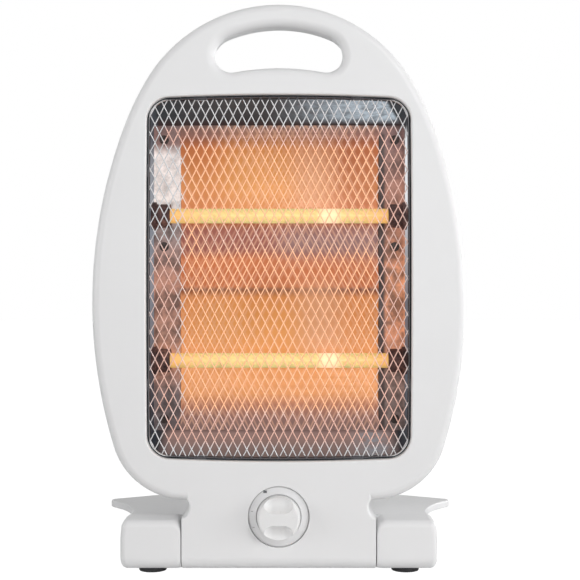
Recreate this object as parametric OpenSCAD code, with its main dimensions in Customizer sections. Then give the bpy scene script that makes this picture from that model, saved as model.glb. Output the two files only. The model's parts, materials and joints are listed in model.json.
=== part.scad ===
// Portable halogen heater: oval moulded housing, two heating tubes in a double trough
// reflector behind a diamond wire grille, a rotary switch and two moulded feet.
// Lengths are millimetres. X runs left to right, Y from front to back, Z upwards.

/* [Housing] */
// Width of the oval housing at its widest
body_w = 244.4; // [203:0.2:300]
// Height of the top of the handle above the floor
body_h = 373.8; // [311:0.2:450]
// Depth of the housing from its front face to its flat back
body_t = 66; // [60:1:80]
// Depth of the housing at the top of the handle
handle_t = 38; // [34:1:50]
// Depth at which the front and rear shells part
split_t = 24; // [20:1:30]
// Gap between the shells where they part
split_gap = 0.4; // [0.2:0.1:1]
// Wall thickness of the plastic mouldings
wall = 2.5; // [1.6:0.1:3]
// Radius of the rounded front edge
front_r = 6; // [4:0.5:7]
// Radius of the rounded back edge
back_r = 12; // [6:0.5:14]
// How far the rear shell draws in before its rounded edge
back_draft = 3; // [0:0.5:5]

/* [Base] */
// Height of the underside of the oval above the floor
oval_z = 48.4; // [44:0.2:60]
// Width of the control base between the feet
base_w = 126.6; // [110:0.2:140]
// Height of the underside of the base above the floor
base_z = 3; // [2:0.2:5]
// Radius of the rounded lower front edge
base_r = 9; // [4:0.5:12]
// Radius of the groove between the oval and the base
groove_r = 5; // [3:0.2:5]
// How far the groove runs down from its middle
groove_drop = 7.6; // [5:0.2:8]
// Radius of the groove's edge on the front face
groove_edge_r = 1.5; // [0.5:0.1:3]

/* [Handle opening] */
// Distance from the top of the housing down to the opening
grip_bar = 15; // [12:0.5:20]
// Width of the opening
grip_w = 83.2; // [70:0.2:95]
// Height of the opening at its middle
grip_h = 26.5; // [22:0.5:32]
// Radius of the rounded rim of the opening
grip_r = 6; // [3:0.5:7]

/* [Window and grille] */
// Width of the window in front of the tubes
window_w = 172; // [140:0.2:180]
// Height of the lower edge of the window at its corners
window_z = 76.3; // [70:0.2:90]
// Distance from the top of the housing down to the window at its corners
window_drop = 63.2; // [58:0.2:90]
// Corner radius of the window
window_r = 14; // [8:0.5:24]
// How far the upper and lower edges bow outwards
window_bow = 2.4; // [0:0.1:4]
// How far the side edges bow outwards
window_side_bow = 0.7; // [0:0.1:2]
// Depth of the lip round the window
window_lip = 6; // [4:0.5:8]
// Width of one diamond of the grille
diamond_w = 6; // [4:0.1:12]
// Height of one diamond of the grille
diamond_h = 11.8; // [8:0.1:24]
// Thickness of the grille wire
wire_t = 0.7; // [0.4:0.05:1.2]
// Width of the rim wire of the grille
rim_w = 0.9; // [0.7:0.1:2]
// Open gap between the window's edge and the rim wire
rim_gap = 1.2; // [0.6:0.1:2]

/* [Heating tubes] */
// Outer diameter of a quartz tube
tube_d = 10; // [8:0.5:12]
// Wall thickness of a quartz tube
tube_wall = 1; // [0.8:0.1:1.5]
// How much shorter a quartz tube is than the window is wide
tube_short = 10; // [8:0.5:14]
// How much shorter the glowing coil is than its tube
coil_short = 16; // [14:0.5:24]
// Curls in one coil
coil_curls = 44; // [20:1:48]
// Diameter of the coiled wire
coil_wire_d = 0.9; // [0.6:0.1:1.2]
// Depth of the tubes behind the front face
tube_y = 36; // [30:0.5:38]
// Distance from the upper edge of the window down to the upper tube
upper_tube_drop = 74.6; // [50:0.2:80]
// Distance from the lower edge of the window up to the lower tube
lower_tube_rise = 61.3; // [45:0.1:66]

/* [Reflector] */
// Thickness of the sheet metal
sheet = 0.6; // [0.4:0.1:1]
// Depth of the heat shield box behind the front face
shield_t = 58.6; // [56:0.1:60]
// Depth of the reflector's front edges
trough_y = 50; // [46:0.5:52]
// Depth of each trough of the reflector
trough_t = 7.3; // [4:0.1:7.5]
// Width of the strip beside the reflector that an end cheek fills
cheek_w = 17.2; // [14:0.2:24]

/* [Control] */
// Height of the knob's axis
knob_z = 37.9; // [34:0.1:44]
// Diameter of the knob
knob_d = 28.6; // [24:0.2:30]
// How far the knob stands out of the front face
knob_out = 9; // [6:0.5:12]
// Diameter of the dial ring
dial_d = 39.3; // [36:0.1:44]
// Diameter of the switch shaft
shaft_d = 6; // [5:0.5:7]
// Travel of the tip-over plunger
tip_travel = 4; // [3:0.5:5]

/* [Feet] */
// Width of the front block of a foot
foot_w = 39.7; // [34:0.1:44]
// Height of the top of a foot above the floor
foot_h = 35.8; // [33:0.1:38]
// Depth of the front block of a foot
foot_t = 34; // [30:0.5:40]
// Depth of a foot from its front face to the end of its wing
foot_reach = 140; // [115:0.5:170]
// How far the tip of the wing stands outside the front block
wing_out = 21; // [10:0.5:30]
// Thickness of the wing
wing_t = 5; // [4:0.1:6]
// Slope of the wing in degrees
wing_slope = 5; // [3:0.1:6]
// Radius of the upper front edge of a foot
foot_front_r = 5; // [2:0.5:9]
// Radius of the corner of a foot beside the groove
foot_seam_r = 6; // [1:0.5:8]
// Diameter of a rubber pad
pad_d = 19; // [16:0.2:24]
// Gap between a foot and the base
foot_gap = 0.6; // [0.4:0.1:1]

/* [Cord outlet] */
// Bore of the cord bushing
cord_bore_d = 7.2; // [6:0.1:8]
// Distance of the cord bushing from the middle of the heater
cord_x = 36; // [20:1:44]
// Height of the cord bushing
cord_z = 19; // [16:0.5:22]

/* [Hidden] */
$fn = 48;
white = [0.88, 0.88, 0.88];
steel = [0.72, 0.73, 0.75];
fit = 0.3;          // clearance between seated pieces
running = 0.05;     // radial clearance of a turning or sliding fit
over = 1;           // how far a cut runs past the surface it opens

// The model is drawn with its front face at Y = 0 and is then centred on its depth.
front_y = -(foot_reach - knob_out) / 2;
module place() { translate([0, front_y, 0]) children(); }
module both_sides() { children(); mirror([1, 0, 0]) children(); }
// Extrudes a (Y, Z) profile along X, from x0 to x1.
module bar(x0, x1) { translate([x0, 0, 0]) rotate([90, 0, 90]) linear_extrude(x1 - x0) children(); }
// Extrudes an (X, Z) outline backwards, from depth y0 to depth y1.
module slab(y0, y1) { translate([0, y1, 0]) rotate([90, 0, 0]) linear_extrude(y1 - y0) children(); }
// A rod along X or Y.
module rod_x(x0, x1, r) { translate([x0, 0, 0]) rotate([0, 90, 0]) cylinder(h = x1 - x0, r = r); }
module rod_y(y0, y1, r) { translate([0, y0, 0]) rotate([-90, 0, 0]) cylinder(h = y1 - y0, r = r); }

// ---- Outlines made of tangent arcs ----
// An arc is [radius, sweep in degrees, steps]. A trail starts at the top middle, heads
// towards +X and turns clockwise. Its points are [x, z, heading].
function arc_at(p, arc, share) =
    let (h = p[2] - arc[1] * share)
    [p[0] + arc[0] * (sin(p[2]) - sin(h)), p[1] - arc[0] * (cos(p[2]) - cos(h)), h];
function arc_start(arcs, i) = i == 0 ? [0, 0, 0] : arc_at(arc_start(arcs, i - 1), arcs[i - 1], 1);
function trail(arcs) = [
    [0, 0, 0],
    for (i = [0:len(arcs) - 1]) let (p = arc_start(arcs, i))
        for (k = [1:arcs[i][2]]) arc_at(p, arcs[i], k / arcs[i][2])
];
// The trail stretched by [sx, sz], moved by d square to itself, towards its inside.
function inset_trail(points, stretch, d) = [
    for (p = points)
        let (t = [stretch[0] * cos(p[2]), stretch[1] * sin(p[2])], n = [t[1], -t[0]] / norm(t))
        [p[0] * stretch[0] + d * n[0], p[1] * stretch[1] + d * n[1]]
];
// Adds the mirrored left half. A trail that ends on the middle line shares that point.
function close_trail(half, ends_in_middle) = concat(
    half, [for (i = [len(half) - (ends_in_middle ? 2 : 1):-1:1]) [-half[i][0], half[i][1]]]);

// ---- Skins: solids lofted through rings of equal point count ----
// A ring is a list of [x, y, z], clockwise as seen from the front.
function ring_faces(m, n) = [
    for (j = [0:m - 2]) for (i = [0:n - 1]) let (a = j * n + i, b = j * n + (i + 1) % n)
        each [[a, a + n, b], [b, a + n, b + n]]
];
// Horizontal strips across a ring that is symmetric about the middle, starting at its top.
function strip_faces(n, first, flip) = [
    for (i = [0:(n - 1) / 2 - 1])
        let (q = i == 0 ? [0, 1, n - 1] : [i, i + 1, n - 1 - i, n - i])
        [for (k = [0:len(q) - 1]) first + q[flip ? len(q) - 1 - k : k]]
];
module skin(rings, strips = false) {
    n = len(rings[0]);
    m = len(rings);
    last = (m - 1) * n;
    caps = strips
        ? concat(strip_faces(n, 0, false), strip_faces(n, last, true))
        : [[for (i = [0:n - 1]) i], [for (i = [n - 1:-1:0]) last + i]];
    polyhedron(points = [for (r = rings) each r], faces = concat(caps, ring_faces(m, n)));
}
// A quarter round as [inset, depth] pairs, from the face to the side, radius r.
function round_edge(r, steps, inset = 0, depth = 0) = [
    for (k = [0:steps]) [inset + r * (1 - sin(90 * k / steps)), depth + r * (1 - cos(90 * k / steps))]
];
// The same, from the side to the back face at depth `back`.
function round_back(r, steps, inset, back) = [
    for (k = [0:steps]) [inset + r * (1 - cos(90 * k / steps)), back - r * (1 - sin(90 * k / steps))]
];

// ---- The oval ----
oval_arcs = [[100.6, 59.1, 12], [180.7, 9.7, 2], [329.4, 38, 8], [49.1, 71.7, 12]];
oval_trail = trail(oval_arcs);
oval_end = oval_trail[len(oval_trail) - 1];
oval_stretch = [body_w / 2 / max([for (p = oval_trail) p[0]]), (oval_z - body_h) / oval_end[1]];
function oval(d) = [
    for (p = close_trail(inset_trail(oval_trail, oval_stretch, d), false)) [p[0], p[1] + body_h]
];
// Half width of the oval at height z
oval_half = inset_trail(oval_trail, oval_stretch, 0);
function oval_x(z) = lookup(z, [
    for (i = [len(oval_half) - 1:-1:0]) [oval_half[i][1] + body_h, oval_half[i][0]]]);
// The back slopes forward from the heated part up to the handle.
window_top = body_h - window_drop;
slope_z = window_top - 10;
function back_share(z) = (1 - cos(180 * min(1, max(0, (z - slope_z) / (body_h - slope_z))))) / 2;
function back_y(z) = body_t - (body_t - handle_t) * back_share(z);
rear_y = split_t + split_gap;
function deep(y, z) = y <= rear_y ? y
    : rear_y + (y - rear_y) * (back_y(z) - rear_y) / (body_t - rear_y);
function oval_rings(profile) = [for (q = profile) [for (p = oval(q[0])) [p[0], deep(q[1], p[1]), p[1]]]];
past = 4;           // how far each shell's solids run past the split before they are cut
front_outside = concat(round_edge(front_r, 4), [[0, split_t + past]]);
front_inside = concat(round_edge(front_r - wall, 2, wall, wall), [[wall, split_t + past + over]]);
rear_outside = concat([[0, rear_y - past]], round_back(back_r, 5, back_draft, body_t));
rear_inside = concat([[wall, rear_y - past - over]],
    round_back(back_r - wall, 3, wall + back_draft, body_t - wall));

// ---- The base below the oval ----
base_half = base_w / 2;
base_top = oval_z + front_r + back_r;
groove_x = base_half;
groove_z = oval_z - 3.6;
function base_profile(d) = concat(
    [[d, base_top], [body_t - d, base_top]],
    base_corner(body_t - base_r, base_r - d, 0),
    base_corner(base_r, base_r - d, 270));
// The rounded lower corner of the base whose centre lies at depth y, from angle a0 on.
function base_corner(y, r, a0) = [for (a = [a0:-15:a0 - 90]) [y + r * cos(a), base_z + base_r + r * sin(a)]];
// Outline of the groove: long below its middle, drawn in above it, then straight up into the oval.
function groove(d) = let (r = groove_r + d, drop = groove_drop + d) concat(
    [for (a = [300:-15:180]) [groove_x + r * cos(a), groove_z + drop * sin(a)]],
    [for (a = [165:-15:135]) [groove_x + r * cos(a), groove_z + r * sin(a)]],
    [[groove_x + r * cos(135), base_top + over], [groove_x + 20, base_top + over],
     [groove_x + 20, groove_z - drop * sin(60)]]);
groove_profile = concat([[-groove_edge_r, -over]],
    [for (q = round_edge(groove_edge_r, 3)) [-q[0], q[1]]], [[0, body_t + over]]);
module groove_cut(d = 0) {
    both_sides() skin([for (q = groove_profile) [for (p = groove(-q[0] - d)) [p[0], q[1], p[1]]]]);
}
module base_solid(d, y0, y1) {
    difference() {
        bar(-base_half + d, base_half - d) intersection() {
            polygon(base_profile(d));
            translate([y0, -over]) square([y1 - y0, body_h]);
        }
        groove_cut(-d);
    }
}

// ---- The handle opening ----
grip_arcs = [[88, 21, 6], [14.6, 69, 6], [10.3, 100.5, 9], [-167, -10.5, 3]];
grip_trail = trail(grip_arcs);
grip_stretch = [grip_w / 2 / max([for (p = grip_trail) p[0]]),
    grip_h / -grip_trail[len(grip_trail) - 1][1]];
function grip(d) = [
    for (p = close_trail(inset_trail(grip_trail, grip_stretch, -d), true)) [p[0], p[1] + body_h - grip_bar]
];
front_grip = concat([[grip_r, -over]], round_edge(grip_r, 4), [[0, split_t + past + over]]);
rear_grip = concat([[0, rear_y - past - over]], round_back(grip_r, 4, 0, body_t), [[grip_r, body_t + 4]]);
front_grip_wall = [[grip_r + wall, 0.5], [grip_r, grip_r], [wall, grip_r + wall], [wall, split_t + past / 2]];
rear_grip_wall = [[wall, rear_y - past / 2], [wall, body_t - grip_r - wall], [grip_r + wall, body_t - 0.5]];
module half_space(y0, y1) { translate([-body_w, y0, -over]) cube([2 * body_w, y1 - y0, body_h + 2 * over]); }
module grip_skin(profile) {
    skin([for (q = profile) [for (p = grip(q[0])) [p[0], deep(q[1], p[1]), p[1]]]]);
}

// ---- The window ----
window_half = window_w / 2;
window_mid = (window_z + window_top) / 2;
window_rise = (window_top - window_z) / 2;
function bowed(p) = [
    p[0] * (1 + window_side_bow / window_half * (1 - pow(p[1] / window_rise, 2))),
    p[1] * (1 + window_bow / window_rise * (1 - pow(p[0] / window_half, 2))) + window_mid
];
// Outline of the window, grown outwards by d; the edges get points so that they can bow.
function window(d) = let (r = max(1, window_r + d), hx = window_half + d - r, hz = window_rise + d - r) [
    for (c = [[1, 1, 90], [1, -1, 0], [-1, -1, -90], [-1, 1, -180]])
        each [
            for (a = [0:15:90]) bowed([c[0] * hx + r * cos(c[2] - a), c[1] * hz + r * sin(c[2] - a)]),
            for (k = [1:7]) let (t = 1 - k / 4)
                bowed(c[0] == c[1] ? [c[0] * (hx + r), c[1] * hz * t] : [c[0] * hx * t, c[1] * (hz + r)])
        ]
];

// ---- Screw posts that join the shells ----
post_r = 4.6;
top_post_z = window_top + 21;
side_post_z = [for (share = [0.644, 0.358]) oval_z + share * (body_h - oval_z)];
post_places = [
    [oval_x(top_post_z) - 20, top_post_z],
    for (z = side_post_z) [oval_x(z) - wall - post_r - 6, z],
    [base_half + 10, oval_z + wall + post_r + 8.6]
];
screw_r = 1.6;
screw_head_r = 3.2;
screw_seat_y = split_t + 6;
module posts(y0, y1, r0, r1) {
    both_sides() for (p = post_places) translate([p[0], 0, p[1]]) hull() {
        rod_y(y0, y0 + 0.1, r0, $fn = 12);
        rod_y(y1 - 0.1, y1, r1, $fn = 12);
    }
}

// ---- Recess of the control knob ----
recess_t = 3.2;
recess_floor = 2.6;
dial_r = dial_d / 2;
knob_r = knob_d / 2;
shaft_r = shaft_d / 2;
neck_r = shaft_r + 2;

module front_shell() {
    color(white) place() difference() {
        union() {
            difference() {
                union() {
                    skin(oval_rings(front_outside));
                    base_solid(0, 0, split_t + past / 2);
                }
                skin(oval_rings(front_inside));
                base_solid(wall, 0, split_t + past);
            }
            grip_skin(front_grip_wall);
            slab(0.5, window_lip) polygon(window(wall));
            translate([0, 0, knob_z]) rod_y(0.5, recess_t + recess_floor, dial_r + wall);
            posts(wall - 0.5, screw_seat_y - wall, post_r + 1, post_r);
        }
        skin([for (q = [[1, -over], [1, 0], [0.3, 0.3], [0, 1], [0, window_lip + over]])
            [for (p = window(q[0])) [p[0], q[1], p[1]]]]);
        grip_skin(front_grip);
        foot_screw_holes();
        difference() {
            half_space(split_t, split_t + 3 * past);
            both_sides() for (p = post_places) translate([p[0], 0, p[1]])
                rod_y(split_t - over, screw_seat_y, post_r + 2, $fn = 16);
        }
        translate([0, 0, knob_z]) {
            rod_y(-over, recess_t, dial_r + fit);
            rod_y(0, recess_t + recess_floor + over, neck_r + fit);
        }
        both_sides() for (p = post_places) translate([p[0], 0, p[1]])
            rod_y(split_t / 2, screw_seat_y, screw_r + 0.1, $fn = 12);
    }
}

// ---- Vents ----
vent_w = 3.2;
vent_pitch = 9.5;
vent_h = 26;
vent_count = 13;
module vents(z0) {
    for (i = [-(vent_count - 1) / 2:(vent_count - 1) / 2])
        translate([i * vent_pitch - vent_w / 2, body_t - wall - 2 * over, z0])
            cube([vent_w, wall + 4 * over, vent_h]);
}
well_r = 6;
module rear_solid() {
    skin(oval_rings(rear_outside), true);
    base_solid(0, rear_y - past / 2, body_t);
}
module rear_shell() {
    color(white) place() difference() {
        union() {
            difference() {
                rear_solid();
                skin(oval_rings(rear_inside), true);
                base_solid(wall, rear_y - past, body_t);
            }
            grip_skin(rear_grip_wall);
            intersection() {
                posts(screw_seat_y - wall + fit, body_t, well_r, well_r);
                rear_solid();
            }
        }
        grip_skin(rear_grip);
        foot_screw_holes();
        half_space(-over, rear_y);
        vents(window_top - 52);
        vents(window_z + 14);
        both_sides() for (p = post_places) translate([p[0], 0, p[1]]) {
            rod_y(screw_seat_y, body_t + over, screw_head_r + 0.5, $fn = 16);
            rod_y(split_t, screw_seat_y + over, screw_r + 0.3, $fn = 12);
        }
        translate([cord_x, 0, cord_z]) rod_y(body_t - wall - over, body_t + over, bushing_r + fit, $fn = 32);
        translate([tip_x, tip_y, 0]) cylinder(h = base_z + wall + over, r = tip_nose_r + fit, $fn = 32);
    }
}

// ---- Grille ----
rim_y = 3.4;
ear_w = 8;
ear_place = 0.6;    // where the ears sit, as a share of the window's half width and height
ear_t = 0.6;
ear_reach = 2.2;    // how far an ear runs behind the lip of the window
ear_y = window_lip + 0.1;
wire_y = rim_y + 0.2;
layer_gap = 0.02;
slope_per_mm = diamond_w / diamond_h;
module wires(direction) {
    run = 2 * window_rise + 2 * window_bow;
    lean = direction * run * slope_per_mm / 2;
    reach = ceil((window_half + run * slope_per_mm / 2) / diamond_w);
    half_wire = wire_t / 2 * sqrt(1 + slope_per_mm * slope_per_mm);
    intersection() {
        polygon(window(-rim_gap - rim_w / 2));
        for (i = [-reach:reach]) translate([i * diamond_w, window_mid]) polygon([
            [-lean - half_wire, -run / 2], [-lean + half_wire, -run / 2],
            [lean + half_wire, run / 2], [lean - half_wire, run / 2]]);
    }
}
// Ears that hold the rim wire, tucked between the window's lip and the heat shield.
module ears() {
    high = window_rise + window_bow + ear_reach;
    wide = window_half + ear_reach;
    for (s = [-ear_place, ear_place]) {
        translate([s * window_half - ear_w / 2, window_mid - high]) square([ear_w, 2 * high]);
        translate([-wide, window_mid + s * window_rise - ear_w / 2]) square([2 * wide, ear_w]);
    }
}
module grille() {
    color(steel) place() {
        slab(rim_y, ear_y + ear_t) difference() {
            polygon(window(-rim_gap));
            polygon(window(-rim_gap - rim_w));
        }
        slab(ear_y, ear_y + ear_t) difference() {
            ears();
            polygon(window(-rim_gap - rim_w / 2));
        }
        slab(wire_y, wire_y + wire_t) wires(1);
        slab(wire_y + wire_t + layer_gap, wire_y + 2 * wire_t + layer_gap) wires(-1);
    }
}

// ---- Heat shield, reflector and cheeks ----
shield_y = ear_y + ear_t + 0.1;
shield_half = window_half + window_side_bow + 0.1;
shield_top = window_top + window_bow;
shield_low = window_z - window_bow;
panel_top = shield_top - 13;
panel_low = shield_low + 14;
shield_back = shield_t - sheet;
shield_flange = 5.5;
// Side profile of the box from depth y0 to depth y1, grown upwards and downwards by d.
function shield_side(d, y0, y1) = [
    [y0, shield_top + d], [trough_y, panel_top + d], [y1, panel_top + d],
    [y1, panel_low - d], [trough_y, panel_low - d], [y0, shield_low - d]];
// Top, back and bottom bent from one sheet, with a flange round the window.
module heat_shield() {
    color([0.55, 0.56, 0.58]) place() {
        bar(-shield_half, shield_half) difference() {
            polygon(shield_side(sheet, shield_y, shield_t));
            polygon(shield_side(0, shield_y, shield_back));
        }
        slab(shield_y, shield_y + sheet) difference() {
            intersection() {
                translate([-shield_half - shield_flange, shield_low - wall]) square([
                    2 * (shield_half + shield_flange), shield_top + shield_flange - shield_low + wall]);
                polygon(oval(wall + 1.5));
            }
            polygon(window(-rim_gap - rim_w + 0.2));
        }
    }
}
// The plates that close the box at its ends and carry the ceramic tube ends.
plate_x = shield_half + 0.05;
module side_plate() {
    difference() {
        bar(plate_x, plate_x + sheet) polygon(shield_side(sheet, shield_y + sheet + 0.05, shield_t));
        for (z = [upper_tube_z, lower_tube_z]) translate([0, tube_y, z])
            rod_x(shield_half - over, plate_x + sheet + over, cap_r + 0.2);
    }
}
module right_side_plate() { color([0.55, 0.56, 0.58]) place() side_plate(); }
module left_side_plate() { color([0.55, 0.56, 0.58]) place() mirror([1, 0, 0]) side_plate(); }
trough_w = window_w - 2 * cheek_w;
// One trough as an arc of sheet between two heights, in the (Y, Z) plane.
function trough_radius(z0, z1) = (pow((z1 - z0) / 2, 2) + trough_t * trough_t) / (2 * trough_t);
function trough(z0, z1) =
    let (r = trough_radius(z0, z1), half = asin((z1 - z0) / 2 / r), c = trough_y + trough_t - r)
    [for (k = [-10:10]) [c + r * cos(half * k / 10), (z0 + z1) / 2 + r * sin(half * k / 10)]];
reflector_top = panel_top - 9;
reflector_low = panel_low - 0.3 + 1.2;
upper_tube_z = window_top - upper_tube_drop;
lower_tube_z = window_z + lower_tube_rise;
seam_z = (upper_tube_z + lower_tube_z) / 2 - 1.2;
reflector_t = 0.5;
module reflector() {
    lower = trough(reflector_low, seam_z);
    upper = trough(seam_z, reflector_top);
    front = concat(lower, [for (i = [1:len(upper) - 1]) upper[i]], [[trough_y, panel_top - fit]]);
    color([0.9, 0.88, 0.85]) place() bar(-trough_w / 2, trough_w / 2)
        polygon(concat(front, [for (i = [len(front) - 1:-1:0]) front[i] + [reflector_t, 0]]));
}
cheek_lip = 4;      // how far a cheek's outer edge is folded forward
cheek_z0 = panel_low + 0.5;
cheek_z1 = panel_top - 0.5;
cheek_x0 = trough_w / 2 + fit;
cheek_x1 = shield_half - 0.2;
cheek_screw_x = (cheek_x0 + cheek_x1) / 2 + 2;
cheek_screw_z = [cheek_z0 + 8, seam_z + 30, cheek_z1 - 10];
module cheek() {
    difference() {
        union() {
            translate([cheek_x0, trough_y, cheek_z0]) cube([cheek_x1 - cheek_x0, sheet, cheek_z1 - cheek_z0]);
            translate([cheek_x0, trough_y, cheek_z0])
                cube([sheet, shield_back - 0.1 - trough_y, cheek_z1 - cheek_z0]);
            translate([cheek_x1 - sheet, trough_y - cheek_lip, cheek_z0])
                cube([sheet, cheek_lip + sheet, cheek_z1 - cheek_z0]);
            for (z = cheek_screw_z) translate([cheek_screw_x, 0, z])
                rod_y(trough_y + sheet / 2, shield_back - 0.1, 3);
        }
        for (z = cheek_screw_z) translate([cheek_screw_x, 0, z])
            rod_y(trough_y - over, shield_back + over, screw_r + 0.05);
    }
}
module right_end_cheek() { color([0.6, 0.6, 0.62]) place() cheek(); }
module left_end_cheek() { color([0.6, 0.6, 0.62]) place() mirror([1, 0, 0]) cheek(); }
module cheek_screws() {
    color(steel) place() both_sides() for (z = cheek_screw_z) translate([cheek_screw_x, 0, z]) {
        rod_y(trough_y - 1.6, trough_y - 0.02, screw_head_r);
        rod_y(trough_y - 0.5, shield_back - 0.1, screw_r);
    }
}

// ---- Heating tubes ----
tube_l = window_w - tube_short;
coil_l = tube_l - coil_short;
tube_r = tube_d / 2;
tube_inner_r = tube_r - tube_wall;
cap_r = tube_r + 3;
cap_x0 = tube_l / 2 - 7;
cap_x1 = plate_x + sheet + 6;
module at_tube(z) { translate([0, tube_y, z]) children(); }
module quartz_tube(z) {
    color([0.95, 0.85, 0.7, 0.4]) place() at_tube(z) difference() {
        rod_x(-tube_l / 2, tube_l / 2, tube_r);
        rod_x(-tube_l / 2 - over, tube_l / 2 + over, tube_inner_r);
    }
}
module upper_quartz_tube() { quartz_tube(upper_tube_z); }
module lower_quartz_tube() { quartz_tube(lower_tube_z); }
module ceramic_end_caps() {
    color([0.25, 0.23, 0.22]) place() both_sides() for (z = [upper_tube_z, lower_tube_z]) at_tube(z)
        difference() {
            union() {
                rod_x(cap_x0, cap_x1, cap_r);
                rod_x(shield_half - 3.2, shield_half - 0.2, cap_r + 1.4);
            }
            rod_x(cap_x0 - over, tube_l / 2 + 0.3, tube_r + 0.1);
            rod_x(tube_l / 2, cap_x1 + over, terminal_r + 0.1);
        }
}
clip_w = 1.6;
clip_leg = 7;
clip_x = plate_x + sheet + 0.1;
module tube_clips() {
    color(steel) place() both_sides() for (z = [upper_tube_z, lower_tube_z]) at_tube(z)
        difference() {
            union() {
                rod_x(clip_x, clip_x + clip_w, cap_r + 2.5);
                translate([clip_x, -6, -cap_r - clip_leg]) cube([clip_w, 12, clip_leg]);
            }
            rod_x(shield_half, clip_x + clip_w + over, cap_r + 0.05);
        }
}
terminal_r = 2;
terminal_x = coil_l / 2 + 6;
blade_x = cap_x1 + 5;
module coil_terminals() {
    color(steel) place() both_sides() for (z = [upper_tube_z, lower_tube_z]) at_tube(z) {
        rod_x(terminal_x, terminal_x + 1.5, tube_inner_r - 0.1);
        rod_x(terminal_x + 1, cap_x1 + 1, terminal_r);
        translate([cap_x1 + 0.5, -0.4, -3.1]) cube([4.5, 0.8, 6.2]);
    }
}

// ---- Coils: one wire swept along a helix, straight at both ends ----
coil_r = tube_inner_r - fit - coil_wire_d / 2;
curl_rings = 8;
wire_sides = 6;
coil_pitch = coil_l / coil_curls;
coil_rings = coil_curls * curl_rings;
coil_tail = terminal_x - 0.25 - coil_l / 2;
function helix(i) = let (a = 360 * i / curl_rings)
    [-coil_l / 2 + coil_pitch * i / curl_rings, coil_r * sin(a), coil_r * cos(a)];
function coil_point(i) = i < 0 ? helix(0) - [coil_tail, 0, 0]
    : i > coil_rings ? helix(coil_rings) + [coil_tail, 0, 0] : helix(i);
function unit(v) = v / norm(v);
function coil_along(i) =
    i < 0 || i > coil_rings ? [1, 0, 0]
    : unit(unit(coil_point(i + 1) - coil_point(i)) + unit(coil_point(i) - coil_point(i - 1)));
function coil_ring(i) =
    let (c = coil_point(i), t = coil_along(i), out = unit([0, c[1], c[2]]), side = unit(cross(t, out)),
        up = cross(side, t))
    [for (k = [0:wire_sides - 1]) c + coil_wire_d / 2 * (cos(60 * k) * up + sin(60 * k) * side)];
coil_rings_list = [for (i = [-1:coil_rings + 1]) coil_ring(i)];
function flat_faces(m, n) = concat(
    [for (k = [1:n - 2]) [0, k, k + 1]],
    [for (k = [1:n - 2]) [(m - 1) * n, (m - 1) * n + k + 1, (m - 1) * n + k]],
    [for (j = [0:m - 2]) for (i = [0:n - 1]) let (a = j * n + i, b = j * n + (i + 1) % n)
        each [[a, a + n, b], [b, a + n, b + n]]]);
module coil(z) {
    color([1, 0.62, 0.25]) place() at_tube(z) polyhedron(
        points = [for (r = coil_rings_list) each r], faces = flat_faces(len(coil_rings_list), wire_sides));
}
module upper_heating_coil() { coil(upper_tube_z); }
module lower_heating_coil() { coil(lower_tube_z); }
// Least gap between one curl and the next, measured on the centre line's points
curl_gap = min([for (i = [0:coil_rings - curl_rings]) for (k = [curl_rings - 2:curl_rings + 2])
    if (i + k <= coil_rings) norm(helix(i + k) - helix(i))]) - coil_wire_d;
echo(str("least gap between curls of the heating coils: ", curl_gap, " mm"));

// The cutout sits on the right side plate, between the lower clip and the bottom of the box.
clip_low_z = lower_tube_z - cap_r - clip_leg;
module thermal_cutout() {
    color([0.2, 0.2, 0.2]) place() translate([plate_x + sheet + 0.15, tube_y, (panel_low + clip_low_z) / 2]) {
        rod_x(0, 2, 8);
        rod_x(0, 5.5, 6.5);
        for (z = [-3.5, 3.5]) translate([5, -2.5, z - 0.4]) cube([5, 5, 0.8]);
    }
}

// ---- Knob, dial ring and rotary switch ----
dial_slope = 1.2;   // how much lower the ring's face is at its outer edge
module dial_ring() {
    color([0.9, 0.9, 0.9]) place() translate([0, 0, knob_z]) rotate([-90, 0, 0]) rotate_extrude() polygon([
        [knob_r + fit, 0.5], [knob_r + fit + 0.4, 0.1], [dial_r - 0.5, dial_slope + 0.1],
        [dial_r, dial_slope + 0.5], [dial_r, recess_t - 0.1], [knob_r + fit, recess_t - 0.1]]);
}
scoop_r = 7.2;
scoop_half = 3.4;   // half the distance between the ends of a scoop
scoop_y = 3.2;      // how far a scoop's centre stands out of the knob's face
scoop_z = 10.4;     // distance of a scoop from the knob's axis
knob_back = recess_t - 0.5;
hub_r = shaft_r + 2.2;
bore_end = -knob_out + 3;
module shaft_shape(y0, y1, r) {
    difference() {
        rod_y(y0, y1, r);
        translate([-r, y0 - over, r * 0.6]) cube([2 * r, -y0 + over, r]);
    }
}
module knob() {
    color([0.92, 0.92, 0.92]) place() translate([0, 0, knob_z]) difference() {
        rotate([-90, 0, 0]) rotate_extrude() polygon(concat(
            [[0, -knob_out]],
            [for (a = [0:15:90]) [knob_r - 3 + 2 * sin(a), -knob_out + 2 - 2 * cos(a)]],
            [[knob_r, 0], [knob_r, knob_back], [0, knob_back]]));
        for (s = [-1, 1]) translate([0, -knob_out - scoop_y, s * scoop_z]) {
            rod_x(-scoop_half, scoop_half, scoop_r);
            both_sides() translate([scoop_half, 0, 0]) sphere(r = scoop_r);
        }
        difference() {
            rod_y(-0.2, knob_back + over, knob_r - 2);
            rod_y(-2, knob_back - 2.4, hub_r);
        }
        shaft_shape(bore_end, knob_back + over, shaft_r + 0.03);
    }
}
module switch_shaft() {
    color(steel) place() translate([0, 0, knob_z]) shaft_shape(bore_end + 0.2, 14, shaft_r);
}
switch_y0 = recess_t + recess_floor + 0.2;
switch_y1 = switch_y0 + 22;
switch_w = 30;
switch_low = 15;
switch_high = 11;
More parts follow.
